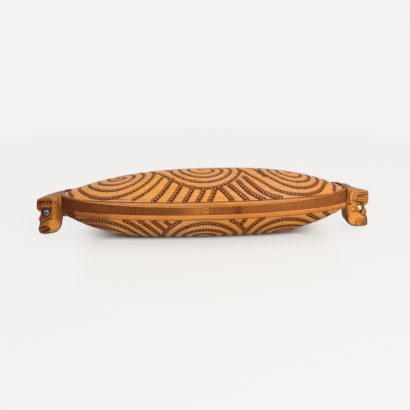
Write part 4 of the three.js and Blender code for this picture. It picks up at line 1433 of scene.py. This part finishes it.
eye_pieces = []
for side, shell, pupil in (("left", BLUE_SHELL, PUPIL_WOOD), ("right", SHELL_WITH_PAINTED_HIGHLIGHT, PUPIL_WITH_PAINTED_HIGHLIGHT)):
    for across in (-1, 1):
        place = "front" if (across < 0) == (side == "right") else "back"
        eye = (EYES[side], across, side == "left")
        inlay = turned_piece(f"shell_{side}_{place}", SHELL_OUTLINE, *eye, shell)
        peg = turned_piece(f"pupil_{side}_{place}", PUPIL_OUTLINE, *eye, pupil)
        eye_pieces.append((inlay, f"eye_shell_{side}_{place}", "paua_shell"))
        eye_pieces.append((peg, f"pupil_peg_{side}_{place}", "pupil_wood"))
print("eyes", [piece.name for piece, node, slot in eye_pieces])

# %% [markdown]
# The helper shapes have done their work and go. Then each piece is told what carries it: the carved lid and
# its two sets of notched rows move together, and all the rest stays with the hull.

# %% Say which body each piece rides on and which node it stands for
drawings = (lid_curves, rib_curves, hull_curves, no_curves, band_curves)
for helper in (*drawings, lid_block, rib_block, hull_block, one_crescent):
    bpy.data.objects.remove(helper)
for piece in (lid_carved, lid_notches, rib_notches):
    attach(piece, "lid")
    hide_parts("lid")
for piece in (hull_bowl, hull_notches, hull_rim, rim_crescents, *coils, head_left, head_right):
    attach(piece, "base")
    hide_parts("box_base")
for piece, node, slot in eye_pieces:
    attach(piece, "base")
    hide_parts(node)

# %% [markdown]
# The stage is one large, plain, pale floor. Under the box it is ordinary paper that takes a soft shadow.
# Round that a part of it is a plain glow, more so under the raised ends, and far out all of it is. A
# camera sees this as an even pale background, and it lights nothing. The paper throws back a little less
# light than it seems to. The sky is soft and even, and three broad lamps add the sheen along the crown and
# a little shape.

# %% Stage and lights
PAPER, BACKGROUND = colour(233, 232, 229), colour(243, 242, 240)
BOUNCE = colour(214, 212, 208)
PAPER_REACH = (0.22, 0.95)
SEAT_LONG, SEAT_WIDE, NEAR_GLOW = 0.145, 0.019, 0.55
ENDS_REACH, ROUND_REACH, OUTER_GLOW = (0.125, 0.195), (0.15, 0.32), 0.85
FLOOR_HALF = 30.0
SKY_LIGHT, SKY_SEEN = 0.42, 1.0
LAMP_AIM = Vector((0.0, 0.0, 0.05))


def floor_material():
    material = bpy.data.materials.new("studio_paper")
    material.use_nodes = True
    net = Net(material.node_tree)
    paper = material.node_tree.nodes["Principled BSDF"]
    paper.inputs["Roughness"].default_value = 0.95
    paper.inputs["Specular IOR Level"].default_value = 0.05
    place = net.add("ShaderNodeTexCoord", "Object")
    reach = net.add("ShaderNodeVectorMath", "Value", {0: place}, operation="LENGTH")
    rays = net.add("ShaderNodeLightPath", None)
    around = net.math("MULTIPLY", place, (1 / SEAT_LONG, 1 / SEAT_WIDE, 0.0))
    around = net.add("ShaderNodeVectorMath", "Value", {0: around}, operation="LENGTH")
    near = net.ramp(around, 1.0, 1.9) * NEAR_GLOW
    along = net.math("ABSOLUTE", net.add("ShaderNodeSeparateXYZ", "X", {0: place}))
    outer = net.math("MAXIMUM", net.ramp(along, *ENDS_REACH), net.ramp(reach, *ROUND_REACH))
    near = net.math("MAXIMUM", near, outer * OUTER_GLOW)
    far = net.math("MAXIMUM", near, net.ramp(reach, *PAPER_REACH)) * Wire(net, rays.outputs["Is Camera Ray"])
    seen = blend_colours(net, Wire(net, rays.outputs["Is Diffuse Ray"]), PAPER, BOUNCE)
    net.tree.links.new(seen.socket, paper.inputs["Base Color"])
    glow = net.add("ShaderNodeEmission", "Emission", {"Color": BACKGROUND, "Strength": 1.0})
    lit = Wire(net, paper.outputs["BSDF"])
    mixed = net.add("ShaderNodeMixShader", "Shader", {"Fac": far, 1: lit, 2: glow})
    net.tree.links.new(mixed.socket, net.tree.nodes["Material Output"].inputs["Surface"])
    return material


def studio_floor():
    corners = [(-1, -1), (1, -1), (1, 1), (-1, 1)]
    mesh = bpy.data.meshes.new("floor")
    mesh.from_pydata([(x * FLOOR_HALF, y * FLOOR_HALF, 0.0) for x, y in corners], [], [(0, 1, 2, 3)])
    mesh.materials.append(floor_material())
    in_scene("floor", mesh)


def studio_sky():
    sky = bpy.data.worlds.new("studio")
    sky.use_nodes = True
    net = Net(sky.node_tree)
    soft = sky.node_tree.nodes["Background"]
    soft.inputs["Color"].default_value = (0.97, 0.98, 1.0, 1.0)
    soft.inputs["Strength"].default_value = SKY_LIGHT
    seen = net.add("ShaderNodeBackground", "Background", {"Color": BACKGROUND, "Strength": SKY_SEEN})
    rays = net.add("ShaderNodeLightPath", None)
    direct = Wire(net, rays.outputs["Is Camera Ray"]) + Wire(net, rays.outputs["Is Glossy Ray"])
    direct = direct + Wire(net, rays.outputs["Is Transmission Ray"])
    lit = Wire(net, soft.outputs["Background"])
    mixed = net.add("ShaderNodeMixShader", "Shader", {"Fac": direct, 1: lit, 2: seen})
    net.tree.links.new(mixed.socket, net.tree.nodes["World Output"].inputs["Surface"])
    bpy.context.scene.world = sky


def area_light(name, place, width, power, tint):
    lamp = bpy.data.lights.new(name, "AREA")
    lamp.shape = "SQUARE"
    lamp.size = width
    lamp.energy = power
    lamp.color = tint
    thing = in_scene(name, lamp)
    thing.location = place
    thing.rotation_euler = (LAMP_AIM - Vector(place)).to_track_quat("-Z", "Y").to_euler()


studio_floor()
studio_sky()
area_light("key", (0.8, -1.8, 1.15), 1.4, 41, (1.0, 0.98, 0.95))
area_light("fill", (-1.6, -1.4, 0.9), 1.4, 4, (0.95, 0.98, 1.0))
area_light("top", (0.0, 0.5, 1.7), 1.6, 9, (1.0, 1.0, 1.0))
